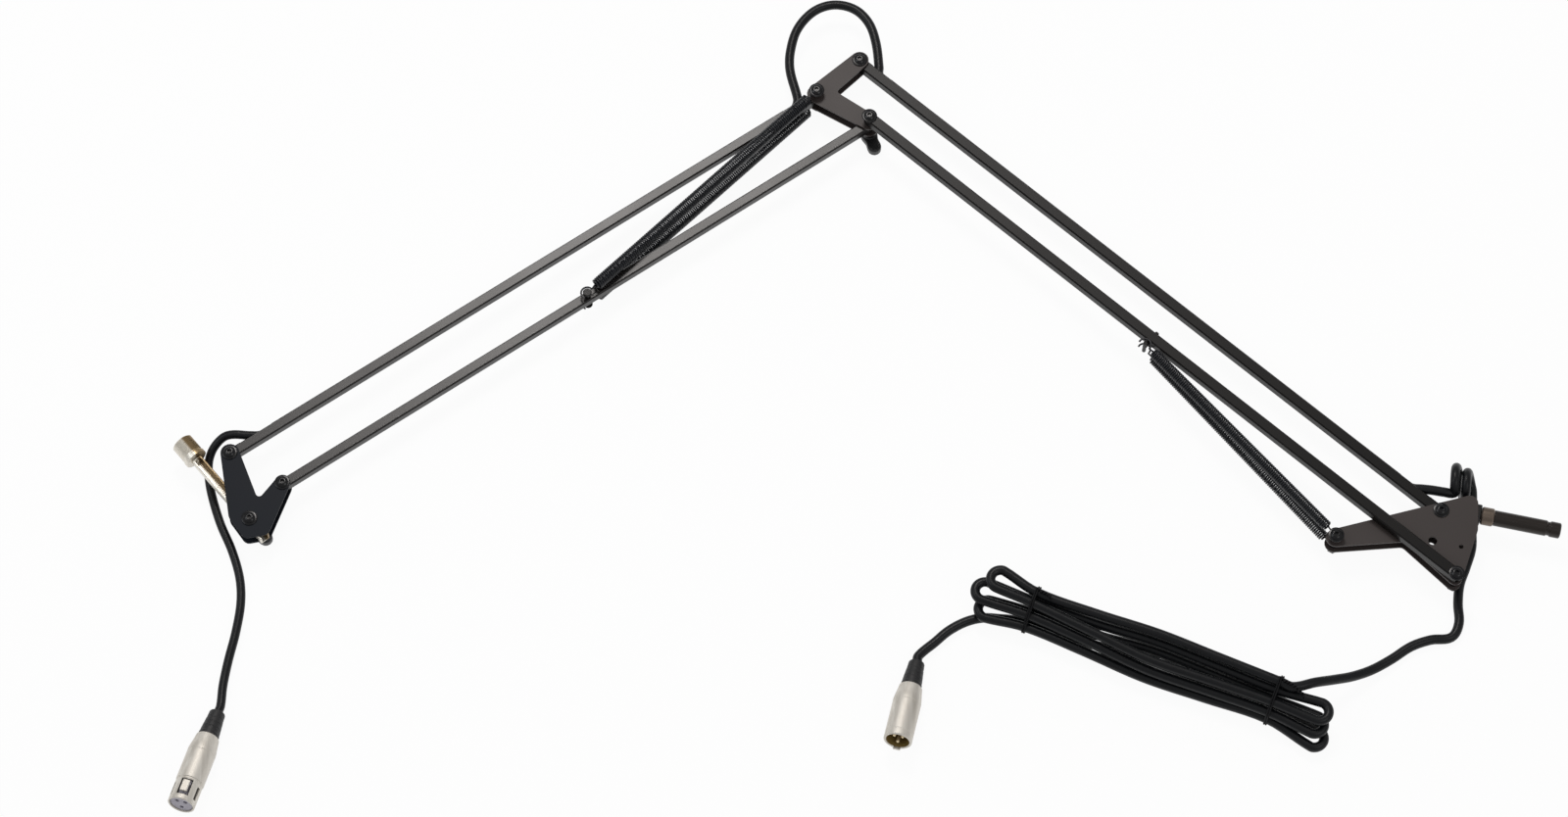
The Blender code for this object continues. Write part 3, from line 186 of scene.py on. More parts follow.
# Table and light: a white sweep under one warm soft box on the far side, which lays a pale
# sheen on the flat steel of the upper arm, and two weaker ones that open the shadows.
TABLE_DROP = 0.0004                 # keeps the table just clear of what lies on it
TABLE_HALF = 6.0                    # half the length of its sides
PAPER_SHARE = 0.94                  # of plain white paper where the camera sees the table
ROOM_LIGHT = 0.42
LAMPS = (("far_box", (-0.28, 1.38, 2.6), 0.75, 28, (1.0, 0.96, 0.93)),
         ("near_box", (1.6, -1.2, 2.4), 1.2, 9, (1.0, 1.0, 1.0)),
         ("left_box", (-1.9, 0.0, 1.9), 1.2, 9, (0.9, 0.95, 1.0)))   # place, size, watts, colour
table_mesh = bpy.data.meshes.new("table")
sheet = bmesh.new()
bmesh.ops.create_grid(sheet, x_segments=2, y_segments=2, size=TABLE_HALF,
                      matrix=Matrix.Translation((0, 0, -TABLE_DROP)))
sheet.to_mesh(table_mesh)
sheet.free()
table = linked("table", table_mesh)
white = Finish("white_sweep", (0.93, 0.93, 0.93), 0.9)
seen = white.node("LightPath", output="Is Camera Ray") + white.node("LightPath", output="Is Glossy Ray")
paper = white.node("Emission", {}, {"Color": (1, 1, 1, 1), "Strength": 1.0})
lit = Wire(white, white.shader.outputs["BSDF"])
clean = white.node("MixShader", {}, {0: seen * PAPER_SHARE, 1: lit, 2: paper})
white.tree.links.new(clean.socket, white.tree.nodes["Material Output"].inputs["Surface"])
table_mesh.materials.append(white.material)

world = bpy.data.worlds.new("studio")
world.use_nodes = True
world.node_tree.nodes["Background"].inputs["Color"].default_value = (1, 1, 1, 1)
world.node_tree.nodes["Background"].inputs["Strength"].default_value = ROOM_LIGHT
bpy.context.scene.world = world
bpy.context.scene.view_settings.view_transform = "Standard"

for label, spot, size, watts, colour in LAMPS:
    lamp = bpy.data.lights.new(label, "AREA")
    lamp.energy = watts
    lamp.color = colour
    lamp.size = size
    box = linked(label, lamp)
    box.location = spot
    box.rotation_euler = (-Vector(spot)).to_track_quat("-Z", "Y").to_euler()


# Cable: 6.2 mm two-core screened microphone cable in a matt black jacket, which takes a soft
# sheen along its top and shows the faint ripple of the lay beneath.
MM = 0.001
CABLE = 0.0062
FREE_RADIUS = 0.0034                # of the elbow loop, the slack and the mixer lead, a little full
CUT_ANGLE = math.radians(60)        # over which an edge, as at a cut end, stays sharp
jacket = Finish("cable_jacket", (0.007, 0.008, 0.010), 0.42)
ripple = jacket.noise(420.0, 4.0)
jacket.plug("Specular IOR Level", 0.26)
jacket.plug("Base Color",
            jacket.tint(jacket.noise(90.0), (0.0025, 0.003, 0.004), (0.006, 0.0065, 0.008)))
jacket.plug("Roughness", jacket.between(ripple, 0.3, 0.46))
jacket.relief(ripple, 0.00005, 0.6)


def settled(piece, body, slot, *nodes):
    """Say which solids a piece stands for and which body it rides; the slot is not used."""
    if nodes:
        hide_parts(*nodes)
    if body:
        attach(piece, body)
    return piece


def smooth_line(knots, steps=8):
    """A close row of points on the soft curve through a cable's knots, given in millimetres."""
    points = [Vector(knot) * MM for knot in knots]
    heads = [(points[min(i + 1, len(points) - 1)] - points[max(i - 1, 0)]).normalized()
             for i in range(len(points))]
    line = [points[0]]
    for first, second, leave, arrive in zip(points, points[1:], heads, heads[1:]):
        reach = (second - first).length / 3
        line += interpolate_bezier(first, first + leave * reach, second - arrive * reach,
                                   second, steps + 1)[1:]
    return line


def drawn(name, line, radius, finish, rounds=6):
    """A round wire or cable drawn along a line of points, as one closed tube."""
    curve = bpy.data.curves.new(name, "CURVE")
    curve.dimensions = "3D"
    curve.bevel_depth = radius
    curve.bevel_resolution = rounds
    curve.use_fill_caps = True
    spline = curve.splines.new("POLY")
    spline.points.add(len(line) - 1)
    for knot, point in zip(spline.points, line):
        knot.co = (*point, 1)
    path = linked(name + "_path", curve)
    data = as_mesh(path)
    bpy.data.objects.remove(path)
    data.name = name
    piece = linked(name, data)
    data.materials.clear()
    data.materials.append(finish.material)
    data.shade_smooth()
    data.set_sharp_from_angle(angle=CUT_ANGLE)
    return piece


def length_of(line):
    return sum((second - first).length for first, second in zip(line, line[1:]))


# Cable loop over the elbow: the cable leaves the upper bar through its window, arches free over
# the elbow and goes into the outer tube, so that the elbow can bend without pulling on it.
UPPER_HEADING = math.radians(-145.4)
LOWER_HEADING = math.radians(138.5)
UPPER_LENGTH = 496.5
LOWER_LENGTH = 533.0
MIDDLE = 17.8                       # height of the tubes' centre line over the table
# The cable's ways out of the tubes: place of its bend from the pivot, its radius and its degrees.
UPPER_ELBOW_EXIT = (24.0, 14.0, 60.0)
OUTER_ELBOW_EXIT = (24.0, 12.8, 62.0)
OUTER_BASE_EXIT = (35.0, 20.0, 45.0)
UPPER_HEAD_EXIT = (33.0, 20.0, 42.0)
EXIT_STRAIGHT = 3.0                 # of cable before such a bend
GAP = 0.3                           # between pieces that meet
pivots = {joint["name"]: Vector(joint["pos_m"]) / MM for joint in frame["joints"] if "pos_m" in joint}


def along_arm(pivot, heading, distance, side=0.0, height=MIDDLE):
    """A point on an arm's tube, some way from its pivot and to its left."""
    return Vector((pivot.x + distance * math.cos(heading) - side * math.sin(heading),
                   pivot.y + distance * math.sin(heading) + side * math.cos(heading), height))


def way_out(pivot, heading, side, bend, radius, sweep):
    """The cable's line out of a tube: straight along it, then round a bend to one side."""
    knots = [along_arm(pivot, heading, bend + EXIT_STRAIGHT)]
    for share in (0, 1 / 3, 2 / 3, 1):
        angle = math.radians(sweep * share)
        knots.append(along_arm(pivot, heading, bend - radius * math.sin(angle),
                               side * radius * (1 - math.cos(angle))))
    return knots


def inside(pivot, heading, length, first_exit, last_exit):
    """The cable's straight line in a tube, between its two ways out."""
    ends = (first_exit[0] + EXIT_STRAIGHT + GAP, length - last_exit[0] - EXIT_STRAIGHT - GAP)
    return [along_arm(pivot, heading, place) * MM for place in ends]


OVER_ELBOW = [(-50.4, -5.8), (-50.1, 10.2), (-44.8, 28.7), (-33.0, 43.0), (-18.6, 48.4),
              (-3.6, 44.8), (6.6, 33.8), (11.8, 17.8)]       # from the elbow's top pivot
CROWN = 81                          # point of the arch, a little past its top, where its halves meet
elbow_top = pivots["elbow_level"]
out_of_bar = way_out(pivots["upper_arm_swing"], UPPER_HEADING, -1, *UPPER_ELBOW_EXIT)
into_tube = way_out(elbow_top, LOWER_HEADING + math.pi, 1, *OUTER_ELBOW_EXIT)[::-1]
over_elbow = [Vector((elbow_top.x + x, elbow_top.y + y, MIDDLE)) for x, y in OVER_ELBOW]
arch_line = smooth_line(out_of_bar + over_elbow + into_tube)
left_half = drawn("elbow_loop_left", arch_line[:CROWN + 1], FREE_RADIUS, jacket)
right_half = drawn("elbow_loop_right", arch_line[CROWN:], FREE_RADIUS, jacket)
for half in (left_half, right_half):
    settled(half, None, "black_rubber", "elbow_cable_loop")
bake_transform(left_half)
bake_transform(right_half)

in_bar = inside(pivots["upper_arm_swing"], UPPER_HEADING, UPPER_LENGTH, UPPER_ELBOW_EXIT, UPPER_HEAD_EXIT)
in_tube = inside(pivots["lower_arm_swing"], LOWER_HEADING, LOWER_LENGTH, OUTER_BASE_EXIT, OUTER_ELBOW_EXIT)
settled(drawn("cable_through_upper_bar", in_bar, CABLE / 2, jacket), "upper_bar", "black_rubber",
        "cable_in_upper_bar")
settled(drawn("cable_through_outer_tube", in_tube, CABLE / 2, jacket), "outer_tube", "black_rubber",
        "cable_in_outer_tube")


# Microphone lead: the same cable leaves the upper bar at the head, drops past the head plate
# and lies on the table down to the socket that a microphone plugs into.
TABLE_LINE = 3.15                   # height of a cable's centre that lies on the table
PLUG_LEAN = math.radians(12)
BOOT_FLOOR = 5.8                    # height of a boot's rear end on its axis, as it lies
BOOT_APPROACH = (6.2, 0.3)          # of the cable's last two knots, behind that rear end


def plug_frame(rear, turn):
    """A plug's rear end with its axes: sideways, up, and forwards with its nose off the table."""
    forward = Vector((math.cos(math.radians(turn)) * math.cos(PLUG_LEAN),
                      math.sin(math.radians(turn)) * math.cos(PLUG_LEAN), math.sin(PLUG_LEAN)))
    upward = (Vector((0, 0, 1)) - forward * forward.z).normalized()
    axes = Matrix((upward.cross(forward), upward, forward)).transposed().to_4x4()
    return Matrix.Translation((*rear, BOOT_FLOOR)) @ axes


def into_boot(plug):
    """The last knots of a cable that runs square into its plug's boot."""
    return [plug @ Vector((0, 0, -back)) for back in BOOT_APPROACH]


female_plug = plug_frame((-441.9, -316.0), -105.0)
male_plug = plug_frame((34.9, -279.6), -103.0)

LEAD_ROUTE = [(-444.0, -114.0, 16.8), (-452.3, -119.5, 13.4), (-457.0, -128.5, 9.2),
              (-457.3, -139.6, 5.6), (-454.7, -153.5, 3.8), (-447.5, -175.3, TABLE_LINE),
              (-438.6, -195.2, TABLE_LINE), (-432.2, -215.6, TABLE_LINE),
              (-430.5, -233.8, TABLE_LINE), (-432.8, -255.5, TABLE_LINE),
              (-437.0, -277.1, TABLE_LINE), (-439.6, -295.0, TABLE_LINE + 0.2)]
out_of_head = way_out(pivots["head_level"], UPPER_HEADING + math.pi, 1, *UPPER_HEAD_EXIT)
lead_line = smooth_line(out_of_head + LEAD_ROUTE + into_boot(female_plug))
mic_lead = drawn("mic_lead_cable", lead_line, CABLE / 2, jacket)
settled(mic_lead, None, "black_rubber", "mic_lead")
length_of(lead_line)
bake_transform(mic_lead)


# Slack at the base: a standing coil of spare cable, not quite two turns, between the outer tube
# and the bracket, which lets the lower arm swing; its end goes under the bracket to the table.
SLACK_START = [(393.5, -156.0, MIDDLE), (401.5, -157.4, MIDDLE)]
SLACK_END = [(423.0, -163.0, TABLE_LINE + 0.1), (421.6, -178.0, TABLE_LINE + 0.1)]
COIL = ((409.3, -147.8, 11.0), (422.4, -151.0, 8.8))   # first and last turn: x, y and radius
COIL_LEAN = 0.15                    # of its turns to the left, for each millimetre upwards
COIL_SWEEP = (20.0, 630.0)          # degrees from its near side, up and over
COIL_STEPS = 24
coil = []
for number in range(COIL_STEPS + 1):
    share = number / COIL_STEPS
    sweep = math.radians(COIL_SWEEP[0] + (COIL_SWEEP[1] - COIL_SWEEP[0]) * share)
    x, y, radius = (first + (last - first) * share for first, last in zip(*COIL))
    coil.append((x - COIL_LEAN * radius * math.sin(sweep), y - radius * math.cos(sweep),
                 TABLE_LINE + radius * (1 + math.sin(sweep))))
out_of_tube = way_out(pivots["lower_arm_swing"], LOWER_HEADING, -1, *OUTER_BASE_EXIT)
slack_line = smooth_line(out_of_tube + SLACK_START + coil + SLACK_END, 4)
slack = drawn("base_slack_cable", slack_line, FREE_RADIUS, jacket)
settled(slack, None, "black_rubber", "base_slack_loop")
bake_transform(slack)


# Mixer lead: the same cable, folded on itself into a hank of long loops that lie on each other,
# with the short run to its plug drawn out from under the lowest loop.
HANK_CENTRE = (195.0, -278.0)
HANK_TURN = -22.0
HANK_HALF = 129.0                   # half length of the longest loop's centre line
LOOP_RADIUS = 6.8                   # of the bend at a loop's end
LOOP_STEPS = 6                      # of a bend
HANK_FALL = 7.0                     # from one loop down to the next
# Of each bend, right and left by turns: how far it is set back, and its place across.
HANK_BENDS = ((0.0, 11.0), (7.4, 10.4), (3.0, 2.5), (0.0, 1.0), (3.0, -4.8), (6.0, -8.0), (0.0, -11.5),
              (0.0, -16.8))
HANK_MIDDLES = (13.0, -5.8, 9.1, -10.8, 5.2, -14.5, 0.2)   # where each strand crosses the middle
TIE_PLACES = (-88.0, 88.0)          # of the ties along the hank
TIED = ((10.6, 10.6), (-3.1, 2.6), (6.7, 6.5), (-8.3, -4.2), (2.6, 0.9), (-10.6, -10.6),
        (-3.4, -5.9))               # where each strand lies across in the right and left tie
SAG = (-0.8, 0, -1.2, 0.6, -1.6, 0.5, -0.6)   # of each strand across, left of the middle
HANK_LOW = 4.6                      # centre of the lowest strand
HANK_LEAD = 9.3                     # of straight cable into the hank, and out of it
REACH = HANK_HALF - LOOP_RADIUS     # from the middle to where a bend starts
LOOP_LENGTH = 4 * REACH + 2 * math.pi * LOOP_RADIUS
hank_turn = Matrix.Rotation(math.radians(HANK_TURN), 4, "Z")
hank_place = Matrix.Translation((*HANK_CENTRE, 0)) @ hank_turn

plan = []
for number, middle in enumerate(HANK_MIDDLES):
    side = 1 if number % 2 == 0 else -1
    (set_back, start), (end_back, end) = HANK_BENDS[number:number + 2]
    right, left = TIED[number]
    near, far = TIED[number][::side]
    tie = TIE_PLACES[1] * side
    run = (REACH - end_back) * side
    quarters = [(right + middle) / 2, (left + middle) / 2 + SAG[number]][::side]
    plan += [((REACH - set_back) * side, start + side * LOOP_RADIUS), (tie, near),
             (tie / 2, quarters[0]), (0, middle), (-tie / 2, quarters[1]), (-tie, far)]
    for bend in range(LOOP_STEPS):
        angle = math.radians(90 + 180 * bend / LOOP_STEPS)
        plan.append((side * LOOP_RADIUS * math.cos(angle) - run,
                     side * LOOP_RADIUS * math.sin(angle) + end))
hank = [Vector((*plan[-LOOP_STEPS - 1], HANK_LOW))]
for along, across in plan[-LOOP_STEPS - 2:0:-1]:
    rise = HANK_FALL / LOOP_LENGTH * math.dist((along, across), hank[0].xy)
    hank.insert(0, Vector((along, across, hank[0].z + rise)))
strands = [[knot.yz for knot in hank if abs(knot.x - along) < 0.01] for along in TIE_PLACES]
hank = [hank_place @ knot for knot in hank]

BASE_ROUTE = [(421.6, -178.3, TABLE_LINE + 0.1), (420.5, -193.5, TABLE_LINE), (415.6, -208.0, TABLE_LINE),
              (410.6, -221.0, TABLE_LINE), (408.6, -235.0, TABLE_LINE), (408.3, -249.5, TABLE_LINE),
              (402.5, -259.6, TABLE_LINE), (388.3, -261.5, TABLE_LINE), (374.5, -266.4, TABLE_LINE),
              (360.5, -275.8, TABLE_LINE + 0.4), (346.4, -284.3, TABLE_LINE + 2.4),
              (332.3, -291.0, TABLE_LINE + 7.6), (318.3, -296.2, TABLE_LINE + 15.0),
              (304.8, -300.6, TABLE_LINE + 21.6)]
PLUG_ROUTE = [(92.0, -246.2, TABLE_LINE + 0.8), (80.3, -245.4, TABLE_LINE + 0.2),
              (68.8, -248.3, TABLE_LINE), (57.2, -254.8, TABLE_LINE), (47.5, -263.3, TABLE_LINE)]
into_hank = hank[0] + (hank[0] - hank[1]).normalized() * HANK_LEAD
out_of_hank = hank[-1] + (hank[-1] - hank[-2]).normalized() * HANK_LEAD
mixer_line = smooth_line([*BASE_ROUTE, into_hank, *hank, out_of_hank, *PLUG_ROUTE, *into_boot(male_plug)], 6)
mixer_lead = drawn("mixer_lead_cable", mixer_line, FREE_RADIUS, jacket)
settled(mixer_lead, "base", "black_rubber", "base_cable", "cable_hank", "male_cable_run")
length_of(mixer_line)


# Wire ties: two turns of thin plastic-coated wire round the hank near each end, drawn tight
# and twisted together on top, with their cut ends left standing apart.
TIE_WIRE = 0.6                      # radius
TIE_TURNS = 2
TIE_STEPS = 48                      # of a turn
TIE_PITCH = 2.2 * TIE_WIRE
TIE_START = math.radians(60)        # where a turn starts round the hank
TAIL_PLACE = (2.2, 10.5, 1.8)       # of the twisted ends: along the hank, across it, above the tie
TAIL_POINTS = (12, 24)              # of the left and right tie's twisted ends
TAIL_STEP = 0.75                    # along the hank, from point to point
TAIL_TWIST = math.radians(62)       # round each other, from point to point
TAIL_APART = 1.05 * TIE_WIRE        # from the middle of the twist
TAIL_SPLAY = 0.25                   # added to that at each of the last points
TAIL_OPEN = 5                       # number of those last points
TAIL_CURL = 0.012
tie_coating = Finish("tie_coating", (0.003, 0.003, 0.004), 0.55)
tie_coating.plug("Specular IOR Level", 0.2)
tie_coating.relief(tie_coating.noise(600.0, 2.0), 0.00004, 0.5)
for label, along, tail_points, held in zip(("left", "right"), TIE_PLACES, TAIL_POINTS, strands):
    turns = []
    for number in range(TIE_TURNS * TIE_STEPS + 1):
        angle = 2 * math.pi * number / TIE_STEPS + TIE_START
        outward = Vector((math.cos(angle), math.sin(angle)))
        outermost = max(held, key=outward.dot)
        turns.append((along + TIE_PITCH * (number / TIE_STEPS - TIE_TURNS / 2),
                      *(outermost + outward * (FREE_RADIUS / MM + TIE_WIRE))))
    tie_top = turns[0][2]
    tails = []
    for hand in (1, -1):
        tail = []
        for number in range(tail_points):
            twist = hand * math.pi / 2 + TAIL_TWIST * number
            apart = TAIL_APART + TAIL_SPLAY * max(0, number - tail_points + TAIL_OPEN)
            tail.append((along + TAIL_PLACE[0] + number * TAIL_STEP,
                         TAIL_PLACE[1] + apart * math.sin(twist) - TAIL_CURL * number ** 2,
                         tie_top + TAIL_PLACE[2] + apart * math.cos(twist)))
        tails.append(tail)
    route = tails[0][::-1] + turns + tails[1]
    line = smooth_line([hank_place @ Vector(knot) for knot in route], 3)
    settled(drawn(f"wire_tie_{label}", line, TIE_WIRE * MM, tie_coating, 3), "base", "black_plastic",
            f"tie_{label}")


# Tubes and bars: thin-walled square steel tube with rounded nose ends, in a thin satin black
# stove enamel with a warm cast, whose flat faces mirror the light as a soft grey.
def painted(name, dark, light, roughness, gloss=0.45):
    """Stove enamel over steel: a fine pebbled coat whose tone and gloss drift along a piece."""
    finish = Finish(name, dark, roughness)
    drift = finish.noise(14.0, 5.0)
    finish.plug("Base Color", finish.tint(drift, dark, light))
    finish.plug("Roughness", finish.between(drift, roughness - 0.05, roughness + 0.07))
    finish.plug("Specular IOR Level", gloss)
    finish.relief(finish.noise(900.0, 2.0), 0.00001, 0.15)
    return finish


enamel = painted("satin_enamel", (0.006, 0.005, 0.005), (0.011, 0.009, 0.0085), 0.3)
# A darker, duller copy of the same enamel, as painted shade, for the lower arm's tubes and the spring
# anchors.
enamel_painted_shade = painted("enamel_painted_shade", (0.004, 0.0035, 0.0035), (0.008, 0.007, 0.0065), 0.34, 0.22)


BREAK_ANGLE = math.radians(35)      # over which an edge is broken
FLAT_ANGLE = math.radians(2)        # under which two faces are one flat
MERGE = 0.00001                     # metres, under which two corners are one
TURNED_MERGE = 0.0005               # the same on a turned form, in millimetres


def mesh_of(name, made, finish, smooth=36):
    """A finished piece from a bmesh in metres, whose edges over an angle in degrees stay sharp."""
    data = bpy.data.meshes.new(name)
    made.to_mesh(data)
    made.free()
    piece = linked(name, data)
    data.materials.append(finish.material)
    data.shade_smooth()
    data.set_sharp_from_angle(angle=math.radians(smooth))
    flats = piece.modifiers.new("flats", "WEIGHTED_NORMAL")
    flats.keep_sharp = True
    return piece


def broken_edges(made, width):
    """Break every sharp edge, as tumbling or a file does."""
    sharp = [edge for edge in made.edges if edge.calc_face_angle(0) > BREAK_ANGLE]
    bmesh.ops.bevel(made, geom=sharp, offset=width, offset_type="OFFSET", segments=2,
                    profile=0.5, affect="EDGES", clamp_overlap=True, material=-1)


def finished_copy(node, name, finish, slot, width=0.25):
    """A solid's own shape with its edges broken, which rides where the solid does."""
    made = bmesh.new()
    made.from_mesh(frame["nodes"][node].data)
    bmesh.ops.remove_doubles(made, verts=made.verts, dist=MERGE)
    bmesh.ops.dissolve_limit(made, angle_limit=FLAT_ANGLE, verts=made.verts, edges=made.edges)
    broken_edges(made, width * MM)
    return settled(mesh_of(name, made, finish), frame["nodes"][node]["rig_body"], slot, node)


for node, coat in (("outer_tube", enamel_painted_shade), ("inner_tube", enamel_painted_shade),
                   ("upper_bar", enamel), ("lower_bar", enamel)):
    finished_copy(node, f"{node}_enamelled", coat, "black_steel", 0.3)


# Bracket plates: pairs of 1.5 mm blanked steel plates with drilled pivots in black enamel, whose
# edges are slightly rolled by the press; base and elbow plates carry a painted warm brown sheen, the head
# plates a painted cool slate shade.
# The lighter brown-black at the base and elbow is a painted sheen; the slate-black at the head is painted
# cool shade.
plate_painted_sheen = painted("painted_warm_sheen_plate", (0.032, 0.024, 0.022), (0.046, 0.036, 0.034), 0.46, 0.4)
plate_painted_shade = painted("painted_cool_shade_plate", (0.006, 0.0075, 0.011), (0.011, 0.014, 0.020), 0.42, 0.12)
for joint, coat in (("base", plate_painted_sheen), ("elbow", plate_painted_sheen), ("head", plate_painted_shade)):
    for side in ("front", "rear"):
        finished_copy(f"{joint}_{side}_plate", f"{joint}_{side}_plate_enamelled", coat, "black_steel", 0.22)


# Bolts and nuts: M4 flanged button-head screws with a hexagon socket, in bright black zinc, and
# plain hexagon nuts on the far side, drawn up so that the joints still turn.
zinc = mottled("black_zinc", (0.004, 0.004, 0.005), 0.2, 700.0, 0.16, 0.3)
zinc.plug("Specular IOR Level", 0.35)
BOLT_HEAD = 4.1
HEAD_HEIGHT = 2.8
DOME_DROP = 1.5                     # from the crown to the head's edge
DOME_CURVE = 2.6
SHANK = 2.0
FLANGE = 5.5                        # radius of the flange under the head
SOCKET = 1.6
SOCKET_RIM = 0.35                   # below the crown
SOCKET_DEPTH = 1.5
SIDES = 48                          # of a turned piece


def lathe(profile, sides=SIDES, width=0.0):
    """A turned form from (radius, height) pairs in millimetres, open where it starts off its axis."""
    made = bmesh.new()
    corners = [made.verts.new((radius, 0, height)) for radius, height in profile]
    line = [made.edges.new(pair) for pair in zip(corners, corners[1:])]
    bmesh.ops.spin(made, geom=corners + line, cent=(0, 0, 0), axis=(0, 0, 1),
                   angle=2 * math.pi, steps=sides, use_merge=True)
    bmesh.ops.remove_doubles(made, verts=made.verts, dist=TURNED_MERGE)
    bmesh.ops.recalc_face_normals(made, faces=made.faces)
    if width:
        broken_edges(made, width)
    return made


def fitted(name, made, finish, body, slot, *nodes, place=Matrix(), smooth=40):
    """A form in millimetres, set in its place as a finished piece."""
    made.transform(Matrix.Diagonal((MM, MM, MM, 1)) @ place)
    return settled(mesh_of(name, made, finish, smooth), body, slot, *nodes)


def edges_of(things):
    return [thing for thing in things if isinstance(thing, bmesh.types.BMEdge)]


def button_bolt(length):
    """A flanged screw from its foot up, with a hexagon socket sunk into its dome."""
    dome = [(radius, length - DOME_DROP * (radius / BOLT_HEAD) ** DOME_CURVE)
            for radius in (2.1, 2.6, 3.1, 3.5, 3.8, 4.0, BOLT_HEAD)]
    made = lathe(dome + [(BOLT_HEAD, length - 2.0), (FLANGE - 0.3, length - 2.1),
                         (FLANGE, length - 2.3), (FLANGE, length - 2.6),
                         (FLANGE - 0.2, length - HEAD_HEIGHT), (SHANK, length - HEAD_HEIGHT),
                         (SHANK, 0.4), (SHANK - 0.4, 0), (0, 0)])
    rim = [edge for edge in made.edges if edge.is_boundary]
    hexagon = bmesh.ops.create_circle(made, segments=6, radius=SOCKET,
                                      matrix=Matrix.Translation((0, 0, length - SOCKET_RIM)))["verts"]
    mouth = list({edge for corner in hexagon for edge in corner.link_edges})
    mouth += edges_of(bmesh.ops.subdivide_edges(made, edges=mouth, cuts=SIDES // 6 - 1)["geom"])
    mouth = [edge for edge in set(mouth) if edge.is_valid and not edge.link_faces]
    bmesh.ops.bridge_loops(made, edges=rim + mouth)
    walls = bmesh.ops.extrude_edge_only(made, edges=mouth)["geom"]
    foot = [corner for corner in walls if isinstance(corner, bmesh.types.BMVert)]
    bmesh.ops.translate(made, verts=foot, vec=(0, 0, -SOCKET_DEPTH))
    bmesh.ops.contextual_create(made, geom=edges_of(walls))
    bmesh.ops.recalc_face_normals(made, faces=made.faces)
    return made


for node in ("base_top_bolt", "base_bottom_bolt", "base_spring_bolt", "elbow_top_bolt", "elbow_left_bolt",
             "elbow_bottom_bolt", "head_top_bolt", "head_right_bolt", "head_tilt_bolt"):
    low, high = (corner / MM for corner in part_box(node))
    middle = (low + high) / 2
    fitted(f"{node}_button", button_bolt(high.z - low.z), zinc, frame["nodes"][node]["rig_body"],
           "black_zinc", node, place=Matrix.Translation((middle.x, middle.y, low.z)), smooth=35)

for node in ("base_top_nut", "base_bottom_nut", "base_spring_nut", "elbow_top_nut", "elbow_left_nut",
             "head_top_nut", "head_right_nut", "base_tip_spacer"):
    finished_copy(node, f"{node}_zinc", zinc, "black_zinc", 0.25)
for node in ("lower_spring_anchor", "upper_spring_anchor"):
    finished_copy(node, f"{node}_enamelled", enamel_painted_shade, "black_zinc", 0.25)


# Wing knobs: two-lobed clamping knobs moulded in black nylon over a captive nut, which lock the
# elbow and the head from behind.
nylon = mottled("moulded_nylon", (0.008, 0.008, 0.009), 0.42, 500.0, 0.34, 0.5)
nylon.relief(nylon.noise(1500.0, 2.0), 0.00003, 0.5)
for node in ("elbow_wing_knob", "head_wing_knob"):
    rough = finished_copy(node, f"{node}_rough", nylon, "black_plastic", 0.3)
    mould = rough.modifiers.new("mould", "REMESH")
    mould.mode = "VOXEL"
    mould.voxel_size = 0.00035
    polish = rough.modifiers.new("polish", "SMOOTH")
    polish.iterations = 8
    data = as_mesh(rough)
    bpy.data.objects.remove(rough)
    data.shade_smooth()
    settled(linked(f"{node}_moulded", data), frame["nodes"][node]["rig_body"], "black_plastic", node)


# Springs: four close-wound extension springs of blued music wire, two to each section, that
# carry the arm's weight; each ends in a ring over its bolt or anchor.
blued = mottled("blued_wire", (0.004, 0.005, 0.008), 0.3, 800.0, 0.24, 0.4)
blued.plug("Specular IOR Level", 0.4)
SPRING_WIRE = 0.72                  # radius
COIL_POINTS = 12                    # of a turn
COIL_PITCH = 1.62
COIL_GROWS = 14                     # points over which the coil reaches its full width
SPRING_NECK = 3.5                   # of straight wire between a ring and the coil
RING = 4.4                          # radius of an end ring
RING_ANGLES = [math.radians(200 - 20 * number) for number in range(11)]
UP = Vector((0, 0, 1))
LOWER_COIL = 4.0                    # outer radius
UPPER_COIL = 4.6
BASE_TIP = (323.9, -193.9)          # the base's spring bolt
LOWER_ANCHOR = (270.0, 8.3, 27.9)   # along the inner tube, to its left, and height of its middle
UPPER_ANCHOR = 243.0                # along the lower bar
# Stretches of a spring: where each one ends, and where its bending begins and ends, as shares of
# the way from the fixed ring to the other.
LOWER_BENDS = ((0.1, 0.0, 0.254), (0.25, -0.232, 0.61), (1.0, -0.754, 1.0))
UPPER_BENDS = ((0.1, 0.0, 0.203), (0.2, -0.15, 0.358), (1.0, -1.572, 1.0))


def spring_line(first, last, outer):
    """The centre line of a spring's wire, from its first ring to its last."""
    axis = (last - first).normalized()
    side = axis.cross(UP).normalized()
    rise = side.cross(axis)
    flat = Vector((axis.x, axis.y, 0)).normalized()
    rings = [[centre + flat * outward * RING * math.cos(angle) + flat.cross(UP) * RING * math.sin(angle)
              for angle in RING_ANGLES] for centre, outward in ((first, 1), (last, -1))]
    begin = first + axis * (RING + SPRING_NECK)
    finish = last - axis * (RING + SPRING_NECK)
    length = (finish - begin).length
    total = round(length / COIL_PITCH) * COIL_POINTS
    wound = []
    for number in range(total + 1):
        angle = 2 * math.pi * number / COIL_POINTS
        nearest = min(number, total - number)
        grown = (outer - SPRING_WIRE) * min(1.0, (nearest + 2) / COIL_GROWS)
        wound.append(begin + axis * length * number / total
                     + (side * math.cos(angle) + rise * math.sin(angle)) * grown)
    return rings[0] + wound + rings[1][::-1]


